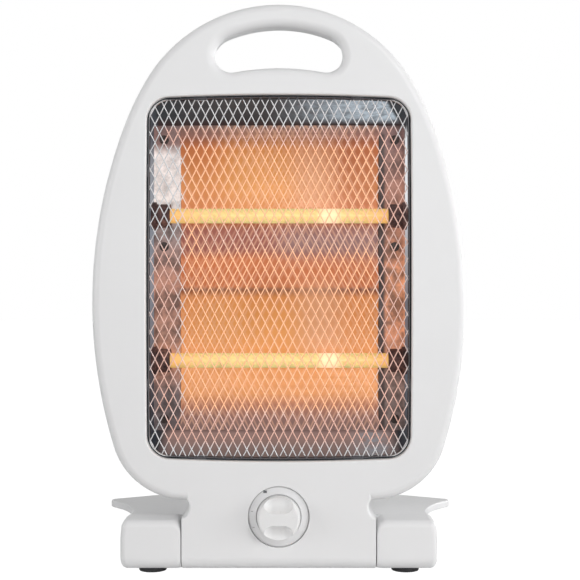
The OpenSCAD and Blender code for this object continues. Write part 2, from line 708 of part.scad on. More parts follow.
module rotary_switch() {
    color([0.15, 0.15, 0.15]) place() translate([0, 0, knob_z]) difference() {
        union() {
            translate([-switch_w / 2, switch_y0, -switch_low]) cube([switch_w, 20, switch_low + switch_high]);
            rod_y(recess_t - 2, switch_y0 + over, neck_r);
            for (x = [-10, 0, 10]) translate([x - 2.4, switch_y1 - 3, -9]) cube([4.8, 10, 0.8]);
            for (x = [-6, 6]) translate([x - 2.4, switch_y1 - 3, 4]) cube([4.8, 10, 0.8]);
        }
        rod_y(0, 15, shaft_r + running);
    }
}
module switch_nut() {
    color(steel) place() translate([0, 0, knob_z]) difference() {
        rod_y(recess_t - 2, recess_t - 0.1, 7.5, $fn = 6);
        rod_y(0, recess_t, neck_r + 0.05);
    }
}

// ---- Tip-over switch in the base ----
tip_x = -34;
tip_y = 46;
tip_nose_r = 4.6;
plunger_r = 2.4;
chamber_r = 4.6;
chamber_z0 = base_z + wall + 3;
collar_z = chamber_z0 + tip_travel + 0.2;
chamber_z1 = collar_z + 11;
tip_body_h = chamber_z1 + 3;
tip_body_w = 16;
tip_body_t = 14;
module tip_switch_body() {
    color([0.15, 0.15, 0.15]) place() difference() {
        translate([tip_x, tip_y, 0]) difference() {
            union() {
                translate([-tip_body_w / 2, -tip_body_t / 2, base_z + wall + 0.1])
                    cube([tip_body_w, tip_body_t, tip_body_h - base_z - wall]);
                translate([0, 0, base_z + 0.4]) cylinder(h = 4, r = tip_nose_r);
            }
            cylinder(h = tip_body_h + over, r = plunger_r + running);
            translate([0, 0, chamber_z0]) cylinder(h = chamber_z1 - chamber_z0, r = chamber_r);
        }
        tip_blades(0.02);
    }
}
module tip_plunger() {
    color([0.85, 0.3, 0.2]) place() translate([tip_x, tip_y, 0]) {
        cylinder(h = tip_body_h + 3, r = plunger_r);
        translate([0, 0, collar_z]) cylinder(h = 1.6, r = chamber_r - 0.3);
    }
}
module tip_spring() {
    color(steel) place() translate([tip_x, tip_y, collar_z + 1.8]) difference() {
        cylinder(h = chamber_z1 - collar_z - 1.9, r = chamber_r - 0.4);
        translate([0, 0, -over]) cylinder(h = chamber_z1, r = plunger_r + 0.4);
    }
}
// Two blades seated in slots of the switch body; the plunger's collar closes them when it is up.
tip_blade_y = 5.2;
tip_blade_w = 4.8;
tip_blade_t = 0.8;
module tip_blades(grow) {
    wide = tip_blade_w + 2 * grow;
    thick = tip_blade_t + 2 * grow;
    for (s = [-1, 1]) translate([tip_x - wide / 2, tip_y + s * tip_blade_y - thick / 2, chamber_z1 - 6])
        cube([wide, thick, 16]);
}
module tip_contacts() {
    color([0.8, 0.6, 0.3]) place() tip_blades(0);
}

module terminal_block() {
    color([0.9, 0.9, 0.86]) place() translate([18, 34, base_z + wall + 0.1]) difference() {
        cube([36, 16, 13]);
        for (i = [0:2]) translate([6 + 12 * i, 8, 6]) cylinder(h = 10, r = 3);
        for (i = [0:2]) translate([6 + 12 * i, -over, 5]) rotate([-90, 0, 0]) cylinder(h = 20, r = 2);
    }
}
bushing_r = cord_bore_d / 2 + 2.4;
bushing_back = body_t + 2;
bushing_front = body_t - wall - 5;
module cord_bushing() {
    color([0.12, 0.12, 0.12]) place() translate([cord_x, 0, cord_z]) difference() {
        union() {
            rod_y(bushing_front, bushing_back, bushing_r);
            rod_y(body_t + 0.1, bushing_back, bushing_r + 2.4);
            rod_y(bushing_front, body_t - wall - 0.2, bushing_r + 1.6);
        }
        rod_y(bushing_front - over, bushing_back + over, cord_bore_d / 2);
    }
}

// ---- Feet ----
foot_x0 = base_half + foot_gap;
foot_x1 = foot_x0 + foot_w;
foot_end_r = 4.2;
pad_x = (foot_x0 + foot_x1) / 2;
front_pad_y = 17;
rear_pad_y = foot_reach - 20;
rear_pad_r = 8;
rear_leg_h = 22;
stud_r = 2.5;
// Side profile of the block: flat front, well rounded behind its top.
foot_back_r = 13;
foot_low_r = 6;
// A quarter turn clockwise from angle a0, radius r, about c.
function turn(c, r, a0) = [for (a = [a0:-15:a0 - 90]) c + r * [cos(a), sin(a)]];
foot_profile = concat(
    turn([foot_front_r, foot_h - foot_front_r], foot_front_r, 180),
    turn([foot_t - foot_back_r, foot_h - foot_back_r], foot_back_r, 90),
    turn([foot_t - foot_low_r, base_z + foot_low_r], foot_low_r, 0),
    turn([base_r, base_z + base_r], base_r, 270));
// Outline of the block from the front, rounded at its outer end.
foot_front = concat(
    turn([foot_x1 - foot_end_r, foot_h - foot_end_r], foot_end_r, 90),
    turn([foot_x1 - foot_end_r, base_z + foot_end_r], foot_end_r, 0),
    [[foot_x0, base_z]],
    turn([foot_x0 + foot_seam_r, foot_h - foot_seam_r], foot_seam_r, 180));
wing_y = 22;
wing_tip_x = foot_x1 + wing_out;
wing_tip_y = 104;
wing_tip_r = 9;
wing_neck_x = foot_x1 - foot_end_r + 0.5;
// Plan of the wing: straight along the base, flared from the neck to a rounded tip.
wing_neck_y = foot_t + 2;
wing_flare = 0.8;   // share of the way out that the flared edge reaches before the tip
wing_curl = 0.65;   // how much the flared edge is hollowed
wing_back = [66, 60];   // half axes of the rounded rear edge
wing_plan = concat(
    [[foot_x0, wing_y], [wing_neck_x, wing_y], [wing_neck_x, wing_neck_y]],
    [for (k = [1:4]) let (t = k / 5)
        [wing_neck_x + (wing_tip_x - wing_neck_x) * wing_flare * t * (1 - wing_curl * (1 - t)),
         wing_neck_y + (wing_tip_y - wing_tip_r - wing_neck_y) * t]],
    [for (a = [-35:20:65]) [wing_tip_x - wing_tip_r, wing_tip_y] + wing_tip_r * [cos(a), sin(a)]],
    [for (a = [62:7:90]) [foot_x0 + wing_back[0] * cos(a), foot_reach - wing_back[1] * (1 - sin(a))]]);
wing_top_z = foot_h - 0.2;
module on_wing() {
    translate([0, wing_y, wing_top_z]) rotate([-wing_slope, 0, 0]) translate([0, -wing_y, 0]) children();
}
rib_t = 3;
module foot() {
    difference() {
        union() {
            intersection() {
                bar(foot_x0, foot_x1) polygon(foot_profile);
                slab(-over, foot_t + over) polygon(foot_front);
            }
            on_wing() translate([0, 0, -wing_t]) linear_extrude(wing_t) polygon(wing_plan);
            translate([pad_x, rear_pad_y, base_z])
                cylinder(h = rear_leg_h, r1 = rear_pad_r + 0.6, r2 = rear_pad_r + 3);
            bar(pad_x - rib_t / 2, pad_x + rib_t / 2) polygon([
                [foot_t - over, base_z + 8], [foot_t - over, foot_h - 6],
                [rear_pad_y, foot_h - 12], [rear_pad_y, base_z + 8], [rear_pad_y - 20, base_z + 10]]);
        }
        translate([pad_x, front_pad_y, base_z - over]) cylinder(h = over + 4, r = stud_r);
        translate([pad_x, rear_pad_y, base_z - over]) cylinder(h = over + 4, r = stud_r);
        for (y = foot_screw_y) translate([0, y, foot_screw_z])
            rod_x(foot_x0 - over, foot_x0 + 12, screw_r + 0.05);
    }
}
module foot_screw_holes() {
    both_sides() for (y = foot_screw_y) translate([0, y, foot_screw_z])
        rod_x(base_half - 2 * wall, base_half + over, screw_r + 0.3, $fn = 12);
}
foot_screw_y = [split_t / 2, split_t + 5];
foot_screw_z = 19;
module right_foot() { color(white) place() foot(); }
module left_foot() { color(white) place() mirror([1, 0, 0]) foot(); }
module pads(y, r) {
    color([0.08, 0.08, 0.08]) place() both_sides() translate([pad_x, y, 0]) {
        cylinder(h = base_z - 0.6, r1 = r - 0.5, r2 = r);
        translate([0, 0, base_z - 0.7]) cylinder(h = 0.65, r = r);
        translate([0, 0, base_z - 0.5]) cylinder(h = 4.3, r = stud_r - 0.05);
    }
}
module front_pads() { pads(front_pad_y, pad_d / 2); }
module rear_pads() { pads(rear_pad_y, rear_pad_r); }

// ---- Screws ----
module shell_screws() {
    color(steel) place() both_sides() for (p = post_places) translate([p[0], 0, p[1]]) {
        rod_y(split_t / 2 + 3, screw_seat_y + 1, screw_r);
        rod_y(screw_seat_y + 0.05, screw_seat_y + 2.4, screw_head_r);
    }
}
module foot_screws() {
    color(steel) place() both_sides() for (y = foot_screw_y) translate([0, y, foot_screw_z]) {
        rod_x(base_half - wall - 2.4, base_half - wall - 0.05, screw_head_r);
        rod_x(base_half - wall - 1, foot_x0 + 10, screw_r);
    }
}

front_shell();
rear_shell();
grille();
heat_shield();
left_side_plate();
right_side_plate();
reflector();
left_end_cheek();
right_end_cheek();
upper_quartz_tube();
lower_quartz_tube();
upper_heating_coil();
lower_heating_coil();
ceramic_end_caps();
tube_clips();
coil_terminals();
thermal_cutout();
dial_ring();
knob();
switch_shaft();
rotary_switch();
switch_nut();
tip_switch_body();
tip_plunger();
tip_spring();
tip_contacts();
terminal_block();
cord_bushing();
left_foot();
right_foot();
front_pads();
rear_pads();
shell_screws();
foot_screws();
cheek_screws();
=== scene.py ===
"""Looks of the two-tube quartz heater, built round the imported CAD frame.

Sizes are millimetres: x to the right, d is the depth behind the front face, z upwards.
place() turns (x, d, z) into the row frame, in metres.
"""

import json
import math

import bmesh
import bpy
from mathutils import Matrix, Vector


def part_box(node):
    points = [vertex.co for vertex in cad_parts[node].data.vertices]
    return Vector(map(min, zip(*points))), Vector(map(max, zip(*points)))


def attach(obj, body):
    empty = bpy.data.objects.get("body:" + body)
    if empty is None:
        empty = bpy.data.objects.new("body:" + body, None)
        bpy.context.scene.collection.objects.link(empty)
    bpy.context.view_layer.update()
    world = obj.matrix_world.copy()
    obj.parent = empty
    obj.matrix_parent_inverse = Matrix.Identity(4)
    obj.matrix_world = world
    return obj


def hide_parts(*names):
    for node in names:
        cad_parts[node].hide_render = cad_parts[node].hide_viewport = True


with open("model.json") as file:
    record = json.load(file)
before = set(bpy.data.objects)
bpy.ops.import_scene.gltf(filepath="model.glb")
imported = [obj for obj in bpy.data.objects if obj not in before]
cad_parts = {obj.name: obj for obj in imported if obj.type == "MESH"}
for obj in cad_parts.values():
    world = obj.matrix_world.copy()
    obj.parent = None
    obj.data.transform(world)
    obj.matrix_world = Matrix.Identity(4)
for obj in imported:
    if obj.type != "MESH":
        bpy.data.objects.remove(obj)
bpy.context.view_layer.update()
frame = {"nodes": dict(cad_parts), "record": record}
scene = bpy.context.scene

MM = 0.001
FRONT_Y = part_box("front_shell")[0].y      # row frame depth of the front face

# ---- Sizes shared with the CAD part ----
BODY_W, BODY_H, BODY_T, HANDLE_T, CAD_H = 244.4, 372.4, 66.0, 38.0, 373.8
SPLIT_T, SPLIT_GAP = 24.0, 0.4
REAR_Y = SPLIT_T + SPLIT_GAP
WALL, FRONT_R, BACK_R, BACK_DRAFT = 2.5, 6.0, 12.0, 3.0
OVAL_Z, BASE_W, BASE_Z, BASE_R = 48.4, 126.6, 3.0, 9.0
GROOVE_R, GROOVE_DROP, GROOVE_EDGE_R, GROOVE_Z = 5.0, 7.6, 1.5, 44.8
GRIP_BAR, GRIP_W, GRIP_H, GRIP_R, GRIP_FLARE = 15.0, 83.2, 26.5, 6.0, 0.19
WINDOW_W, WINDOW_Z, WINDOW_TOP, WINDOW_R = 172.0, 76.3, 310.6, 14.0
WINDOW_RISE, WINDOW_MIDDLE = (WINDOW_TOP - WINDOW_Z) / 2, (WINDOW_TOP + WINDOW_Z) / 2
WINDOW_BOW, WINDOW_SIDE_BOW, WINDOW_LIP = 2.4, 0.7, 6.0
DIAMOND_W, DIAMOND_H, WIRE_T, WIRE_D = 6.0, 11.8, 0.7, 4.2
RIM_GAP, RIM_W, EAR_D, EAR_T, EAR_W, EAR_REACH, EAR_PLACE = 0.9, 0.7, 6.1, 0.6, 8.0, 2.2, 0.6
TUBE_Y, UPPER_TUBE_Z, LOWER_TUBE_Z = 36.0, 236.0, 137.6
COIL_L, COIL_R, COIL_WIRE = 146.0, 3.25, 0.36
SHIELD_T = 58.6
KNOB_Z, KNOB_R, KNOB_OUT, DIAL_R = 37.9, 14.3, 9.0, 19.65
RECESS_T, RECESS_FLOOR, NECK_R = 3.2, 2.6, 5.0
SCOOP_R, SCOOP_HALF, SCOOP_OUT, SCOOP_Z = 7.2, 3.4, 3.2, 10.4
FOOT_W, FOOT_H, FOOT_T, FOOT_REACH, FOOT_GAP = 39.7, 35.8, 34.0, 140.0, 0.6
WING_OUT, WING_T, WING_SLOPE = 21.0, 5.0, 3.5
CORD_X, CORD_Z, CORD_R = 36.0, 19.0, 3.6
FIT = 0.3
OVER = 1.0


# ---- Mesh helpers ----
def place(point):
    """Row-frame position, in metres, of a point (x, d, z) in millimetres."""
    return (point[0] * MM, point[1] * MM + FRONT_Y, point[2] * MM)


def make(name, verts, faces):
    mesh = bpy.data.meshes.new(name)
    mesh.from_pydata(verts, [], faces)
    mesh.validate()
    shape = bmesh.new()
    shape.from_mesh(mesh)
    bmesh.ops.recalc_face_normals(shape, faces=shape.faces)
    shape.to_mesh(mesh)
    shape.free()
    obj = bpy.data.objects.new(name, mesh)
    scene.collection.objects.link(obj)
    return obj


def merged(name, *parts):
    """One object from several (verts, faces) pairs."""
    verts, faces = [], []
    for part_verts, part_faces in parts:
        start = len(verts)
        verts += part_verts
        faces += [[i + start for i in face] for face in part_faces]
    return make(name, verts, faces)


def carve(obj, other, how="DIFFERENCE"):
    """Cuts, joins or intersects obj with other, which is used up."""
    cut = obj.modifiers.new("carve", "BOOLEAN")
    cut.operation = how
    cut.solver = "EXACT"
    cut.object = other
    graph = bpy.context.evaluated_depsgraph_get()
    mesh = bpy.data.meshes.new_from_object(obj.evaluated_get(graph))
    obj.modifiers.clear()
    old = obj.data
    obj.data = mesh
    bpy.data.meshes.remove(old)
    bpy.data.objects.remove(other)
    return obj


def settle(obj, material, body, nodes=(), angle=32.0):
    """Moves a piece from millimetres into the row frame and gives it shading, material and body."""
    for vertex in obj.data.vertices:
        vertex.co = place(vertex.co)
    obj.data.polygons.foreach_set("use_smooth", [True] * len(obj.data.polygons))
    obj.data.set_sharp_from_angle(angle=math.radians(angle))
    weigh = obj.modifiers.new("weighted normals", "WEIGHTED_NORMAL")
    weigh.keep_sharp = True
    weigh.weight = 80
    obj.data.materials.clear()
    obj.data.materials.append(material)
    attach(obj, body)
    if nodes:
        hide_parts(*nodes)
    return obj


def loft(rings, strip_back=False):
    """A closed solid through rings of equal length, clockwise as seen from the front."""
    n, m = len(rings[0]), len(rings)
    verts = [tuple(p) for ring in rings for p in ring]
    last = (m - 1) * n
    faces = [list(reversed(range(n)))]
    if strip_back:
        faces.append([last, last + 1, last + n - 1])
        faces += [[last + i, last + i + 1, last + n - 1 - i, last + n - i] for i in range(1, (n - 1) // 2)]
    else:
        faces.append([last + i for i in range(n)])
    for j in range(m - 1):
        for i in range(n):
            a, b = j * n + i, j * n + (i + 1) % n
            faces.append([a, b, b + n, a + n])
    return verts, faces


def slab(outline, d0, d1):
    """An (x, z) outline, clockwise from the front, extruded backwards."""
    return loft([[(x, d, z) for x, z in outline] for d in (d0, d1)])


def bar(profile, x0, x1):
    """A (d, z) profile, clockwise in that plane, extruded along x."""
    n = len(profile)
    verts = [(x, d, z) for x in (x0, x1) for d, z in profile]
    faces = [list(range(n)), list(reversed(range(n, 2 * n)))]
    faces += [[(i + 1) % n, i, i + n, (i + 1) % n + n] for i in range(n)]
    return verts, faces


def block(x0, x1, d0, d1, z0, z1):
    return slab([(x0, z0), (x0, z1), (x1, z1), (x1, z0)], d0, d1)


def lathe(profile, centre, axis="y", sides=64):
    """(radius, along) pairs turned about an axis through centre; ends on the axis close it."""
    verts, faces, rings = [], [], []
    for radius, along in profile:
        count = 1 if radius == 0 else sides
        rings.append((len(verts), count))
        for k in range(count):
            turn = 2 * math.pi * k / sides
            u, v = radius * math.cos(turn), radius * math.sin(turn)
            step = {"y": (u, along, v), "x": (along, v, u), "z": (v, u, along)}[axis]
            verts.append(tuple(c + s for c, s in zip(centre, step)))
    pairs = list(zip(rings, rings[1:]))
    if profile[0][0] and profile[-1][0]:
        pairs.append((rings[-1], rings[0]))
    for (a, count_a), (b, count_b) in pairs:
        for k in range(sides):
            following = (k + 1) % sides
            if count_a == 1:
                faces.append([a, b + k, b + following])
            elif count_b == 1:
                faces.append([a + k, b, a + following])
            else:
                faces.append([a + k, b + k, b + following, a + following])
    return verts, faces


def mirrored(part):
    verts, faces = part
    return [(-x, d, z) for x, d, z in verts], [list(reversed(face)) for face in faces]


def arc(centre, radius, start, end, steps):
    """Points (a, b) on an arc, angles in degrees."""
    turns = [math.radians(start + (end - start) * k / steps) for k in range(steps + 1)]
    return [(centre[0] + radius * math.cos(t), centre[1] + radius * math.sin(t)) for t in turns]


def inset_outline(outline, distance):
    """A closed outline, clockwise from the front, moved inwards by distance."""
    moved = []
    n = len(outline)
    for i in range(n):
        before, here, after = Vector(outline[i - 1]), Vector(outline[i]), Vector(outline[(i + 1) % n])
        first, second = (here - before).normalized(), (after - here).normalized()
        normal = Vector((first.y + second.y, -first.x - second.x)).normalized()
        reach = distance / max(0.5, normal.dot(Vector((first.y, -first.x))))
        moved.append(tuple(here + normal * reach))
    return moved


# ---- Outlines made of tangent arcs, as in the CAD part but finer ----
def trail(arcs, finer):
    points = [(0.0, 0.0, 0.0)]
    for radius, sweep, steps in arcs:
        x, z, heading = points[-1]
        for k in range(1, steps * finer + 1):
            turned = heading - sweep * k / (steps * finer)
            h0, h1 = math.radians(heading), math.radians(turned)
            points.append((x + radius * (math.sin(h0) - math.sin(h1)),
                           z - radius * (math.cos(h0) - math.cos(h1)), turned))
    return points


def inset_trail(points, stretch, distance):
    moved = []
    for x, z, heading in points:
        along = Vector((stretch[0] * math.cos(math.radians(heading)),
                        stretch[1] * math.sin(math.radians(heading)))).normalized()
        moved.append((x * stretch[0] + distance * along.y, z * stretch[1] - distance * along.x))
    return moved


def close_trail(half, ends_in_middle):
    last = len(half) - (2 if ends_in_middle else 1)
    return half + [(-half[i][0], half[i][1]) for i in range(last, 0, -1)]


def round_edge(radius, steps, inset=0.0, depth=0.0):
    """A quarter round as (inset, depth) pairs, from the front face to the side."""
    turns = [math.pi / 2 * k / steps for k in range(steps + 1)]
    return [(inset + radius * (1 - math.sin(t)), depth + radius * (1 - math.cos(t))) for t in turns]


def round_back(radius, steps, inset, back):
    turns = [math.pi / 2 * k / steps for k in range(steps + 1)]
    return [(inset + radius * (1 - math.cos(t)), back - radius * (1 - math.sin(t))) for t in turns]


OVAL_TRAIL = trail([(100.6, 59.1, 12), (180.7, 9.7, 2), (329.4, 38, 8), (49.1, 71.7, 12)], 4)
OVAL_STRETCH = (BODY_W / 2 / max(p[0] for p in OVAL_TRAIL), (OVAL_Z - BODY_H) / OVAL_TRAIL[-1][1])
GRIP_TRAIL = trail([(88, 21, 6), (14.6, 69, 6), (10.3, 100.5, 9), (-167, -10.5, 3)], 3)
GRIP_STRETCH = (GRIP_W / 2 / max(p[0] for p in GRIP_TRAIL), -GRIP_H / GRIP_TRAIL[-1][1])
SLOPE_Z = WINDOW_TOP - 10


def oval(inset):
    half = inset_trail(OVAL_TRAIL, OVAL_STRETCH, inset)
    return [(x, z + BODY_H) for x, z in close_trail(half, False)]


def oval_x(height):
    """Half width of the oval at a height."""
    return max(x for x, z in oval(0) if abs(z - height) < 2.5)


def grip(grow):
    half = inset_trail(GRIP_TRAIL, GRIP_STRETCH, -grow)
    return [(x, z + BODY_H - GRIP_BAR) for x, z in close_trail(half, True)]


def back_y(z):
    share = min(1.0, max(0.0, (z - SLOPE_Z) / (BODY_H - SLOPE_Z)))
    return BODY_T - (BODY_T - HANDLE_T) * (1 - math.cos(math.pi * share)) / 2


def deep(y, z):
    return y if y <= REAR_Y else REAR_Y + (y - REAR_Y) * (back_y(z) - REAR_Y) / (BODY_T - REAR_Y)


def oval_rings(profile):
    return [[(x, deep(d, z), z) for x, z in oval(inset)] for inset, d in profile]


def flare(d):
    """How far the handle opening has widened at depth d."""
    behind = max(0.0, d - REAR_Y) * (HANDLE_T - REAR_Y) / (BODY_T - REAR_Y)
    return GRIP_FLARE * (max(0.0, min(d, REAR_Y) - GRIP_R - 3) + behind)


def grip_skin(profile):
    """The handle opening's wall as a solid; (grow, d) pairs, widened towards the back."""
    return loft([[(x, deep(d, z), z) for x, z in grip(grow + flare(min(d, BODY_T)))] for grow, d in profile])


def window(grow):
    """The window's outline, grown outwards; its edges bow out slightly."""
    radius = max(1.0, WINDOW_R + grow)
    rise, middle = WINDOW_RISE, WINDOW_MIDDLE
    hx, hz = WINDOW_W / 2 + grow - radius, rise + grow - radius
    points = []
    for cx, cz, start in ((1, 1, 90), (1, -1, 0), (-1, -1, -90), (-1, 1, -180)):
        points += arc((cx * hx, cz * hz), radius, start, start - 90, 12)
        for k in range(1, 16):
            t = 1 - k / 8
            on_side, on_level = (cx * (hx + radius), cz * hz * t), (cx * hx * t, cz * (hz + radius))
            points.append(on_side if cx == cz else on_level)
    bowed = []
    for x, z in points:
        side = 1 + WINDOW_SIDE_BOW / (WINDOW_W / 2) * (1 - (z / rise) ** 2)
        level = 1 + WINDOW_BOW / rise * (1 - (x / (WINDOW_W / 2)) ** 2)
        bowed.append((x * side, z * level + middle))
    return bowed


# ---- Materials ----
FINE_GRAIN = 0.00002     # height of a fine surface grain, in metres


def add_node(tree, kind, inputs=(), **settings):
    """A new node; inputs that are sockets are linked, others are set."""
    node = tree.nodes.new(kind)
    for key, value in settings.items():
        setattr(node, key, value)
    for socket, value in dict(inputs).items():
        if isinstance(value, bpy.types.NodeSocket):
            tree.links.new(value, node.inputs[socket])
        else:
            node.inputs[socket].default_value = value
    return node


class Shader:
    """A Principled material with a few node helpers. Positions are the row frame's, in metres."""

    def __init__(self, name, **sockets):
        self.material = bpy.data.materials.new(name)
        self.material.use_nodes = True
        self.tree = self.material.node_tree
        self.surface = self.tree.nodes["Principled BSDF"]
        self.where = self.tree.nodes.new("ShaderNodeTexCoord").outputs["Object"]
        for socket, value in sockets.items():
            self.surface.inputs[socket.replace("_", " ")].default_value = value

    def node(self, kind, inputs=(), **settings):
        return add_node(self.tree, kind, inputs, **settings)

    def noise(self, scale, detail=2.0, rough=0.5, stretch=(1, 1, 1), offset=(0, 0, 0)):
        spot = self.node("ShaderNodeMapping", {"Vector": self.where, "Scale": stretch, "Location": offset})
        return self.node("ShaderNodeTexNoise", {"Vector": spot.outputs[0], "Scale": scale,
                                                "Detail": detail, "Roughness": rough}).outputs["Fac"]

    def span(self, value, low, high, to_low=0.0, to_high=1.0, smooth=False):
        kind = "SMOOTHSTEP" if smooth else "LINEAR"
        return self.node("ShaderNodeMapRange", {"Value": value, "From Min": low, "From Max": high,
                                                "To Min": to_low, "To Max": to_high},
                         interpolation_type=kind).outputs["Result"]

    def math(self, how, a, b=0.0):
        return self.node("ShaderNodeMath", {0: a, 1: b}, operation=how).outputs[0]

    def times(self, a, b):
        return self.math("MULTIPLY", a, b)

    def axis(self, letter):
        return self.node("ShaderNodeSeparateXYZ", {0: self.where}).outputs[letter]

    def mix(self, share, a, b, how="MIX"):
        colours = [c if isinstance(c, bpy.types.NodeSocket) else (*c, 1.0) for c in (a, b)]
        node = self.node("ShaderNodeMix", {"Factor": share}, data_type="RGBA", blend_type=how)
        for socket, colour in zip([s for s in node.inputs if s.type == "RGBA"], colours):
            if isinstance(colour, bpy.types.NodeSocket):
                self.tree.links.new(colour, socket)
            else:
                socket.default_value = colour
        return [s for s in node.outputs if s.type == "RGBA"][0]

    def lattice(self, wide, high, soft):
        """1 on the crossing lines of the guard's diamond pattern, for a painted reflection of the guard;
        millimetres.
        """
        across = self.math("MULTIPLY", self.axis("X"), 1 / (wide * MM))
        up = self.math("MULTIPLY", self.axis("Z"), 1 / (high * MM))
        lines = [self.span(self.math("PINGPONG", self.math(how, across, up), 0.5), 0.0, soft, 1.0, 0.0, True)
                 for how in ("ADD", "SUBTRACT")]
        return self.math("MAXIMUM", *lines)

    def ramp(self, value, *stops):
        """stops are (place from 0 to 1, (r, g, b))."""
        node = self.node("ShaderNodeValToRGB", {"Fac": value})
        points = node.color_ramp.elements
        while len(points) < len(stops):
            points.new(0.5)
        for point, (spot, colour) in zip(points, stops):
            point.position = spot
            point.color = (*colour, 1.0)
        return node.outputs["Color"]

    def feed(self, socket, value):
        self.tree.links.new(value, self.surface.inputs[socket])

    def bump(self, height, strength, distance):
        node = self.node("ShaderNodeBump", {"Height": height, "Strength": strength, "Distance": distance})
        self.feed("Normal", node.outputs[0])


def srgb(*values):
    """Linear colour of an sRGB triple given from 0 to 255."""
    return tuple(((v / 255 + 0.055) / 1.055) ** 2.4 if v > 10 else v / 255 / 12.92 for v in values)


def moulded(name, colour, roughness=0.36, grain=900.0, tint=0.03):
    """Moulded plastic: a faint uneven tone and a fine grain."""
    s = Shader(name, Specular_IOR_Level=0.3)
    darker = tuple(c * (1 - tint) for c in colour)
    s.feed("Base Color", s.mix(s.noise(22.0, 3.0), colour, darker))
    s.feed("Roughness", s.span(s.noise(300.0), 0.3, 0.7, roughness - 0.04, roughness + 0.05))
    s.bump(s.noise(grain, 3.0, 0.6), 0.25, FINE_GRAIN)
    return s.material


def dial_plastic(name, colour):
    """Moulded plastic with the dial's printed dot and two faint ticks beside the knob."""
    s = Shader(name, Specular_IOR_Level=0.3)
    shade = s.mix(s.noise(22.0, 3.0), colour, tuple(c * 0.97 for c in colour))
    shade = s.mix(patch(s, -8.9, KNOB_Z + 16.3, 1.2, 0.75, 0.25), shade, (0.10, 0.10, 0.11))
    for x, z in ((-17.4, 3.6), (-16.4, -6.8)):
        shade = s.mix(s.times(patch(s, x, KNOB_Z + z, 0.7, 0.3, 0.2), 0.6), shade, (0.2, 0.2, 0.2))
    s.feed("Base Color", shade)
    s.feed("Roughness", s.span(s.noise(300.0), 0.3, 0.7, 0.30, 0.39))
    s.bump(s.noise(1400.0, 3.0, 0.6), 0.25, FINE_GRAIN)
    return s.material


def metal(name, colour, roughness=0.3, streak_scale=200.0, tint=0.12):
    """Bare or plated metal with an uneven tone."""
    s = Shader(name, Metallic=1.0)
    streaks = s.noise(streak_scale, 4.0, 0.6)
    s.feed("Base Color", s.mix(streaks, colour, tuple(c * (1 - tint) for c in colour)))
    s.feed("Roughness", s.span(streaks, 0.3, 0.7, roughness - 0.08, roughness + 0.1))
    s.bump(streaks, 0.3, FINE_GRAIN)
    return s.material


def rubber(name):
    s = Shader(name, Specular_IOR_Level=0.35)
    s.feed("Base Color", s.mix(s.noise(60.0, 3.0), (0.022, 0.022, 0.024), (0.04, 0.04, 0.042)))
    s.feed("Roughness", s.span(s.noise(400.0), 0.3, 0.7, 0.55, 0.72))
    s.bump(s.noise(1400.0, 2.0), 0.3, 0.00003)
    return s.material


def patch(s, x, z, half_x, half_z, soft):
    """A soft-edged rectangle in the plane of the window, 1 inside; millimetres."""
    share = None
    for letter, middle, half in (("X", x, half_x), ("Z", z, half_z)):
        off = s.math("ABSOLUTE", s.math("SUBTRACT", s.axis(letter), middle * MM))
        edge = s.span(off, (half - soft) * MM, (half + soft) * MM, 1.0, 0.0, True)
        share = edge if share is None else s.times(share, edge)
    return share


def guard_wire(name):
    """Plated wire. Its orange is painted glow from the lit reflector behind it, given in colour and emission
    patches with painted reflections and a band of painted shade; at the window's edge it is coloured dark as
    painted shade.
    """
    s = Shader(name, Metallic=0.35)
    streaks = s.noise(200.0, 4.0, 0.6)
    # Painted light on the wires: an orange painted glow over the middle, a band of painted shade below the
    # upper tube, and ruddy painted reflections at the top, the bottom and the sides.
    glow, painted_shade_band = patch(s, 1, 193, 63, 88, 4), patch(s, 20, 221, 70, 8, 6)
    ruddy_painted_reflection = s.math("MAXIMUM", patch(s, 1, 286, 76, 6, 2), patch(s, 1, 95, 76, 10, 4))
    sides = s.math("MAXIMUM", patch(s, 74, 190, 9, 94, 3), patch(s, -74, 160, 9, 56, 6))
    ruddy_painted_reflection = s.math("MAXIMUM", ruddy_painted_reflection, sides)
    plain = s.mix(streaks, (0.66, 0.66, 0.67), (0.58, 0.58, 0.59))
    tone = s.mix(ruddy_painted_reflection, s.mix(glow, plain, (0.80, 0.44, 0.26)), (0.74, 0.46, 0.38))
    tone = s.mix(s.times(painted_shade_band, 0.8), tone, (0.66, 0.44, 0.38))
    # Painted shade: the rim wire, the stays and the ears at the window's edge are coloured dark.
    rim = s.math("SUBTRACT", 1.0, patch(s, 0, WINDOW_MIDDLE, 84.5, 116.3, 0.3))
    s.feed("Base Color", s.mix(rim, tone, (0.10, 0.10, 0.11)))
    s.feed("Emission Color", tone)
    painted_glow_strength = s.times(glow, s.span(painted_shade_band, 0.0, 1.0, 0.3, 0.1))
    s.feed("Emission Strength", s.math("ADD", painted_glow_strength, s.times(ruddy_painted_reflection, 0.05)))
    s.feed("Roughness", s.span(streaks, 0.3, 0.7, 0.34, 0.5))
    s.bump(streaks, 0.3, FINE_GRAIN)
    return s.material


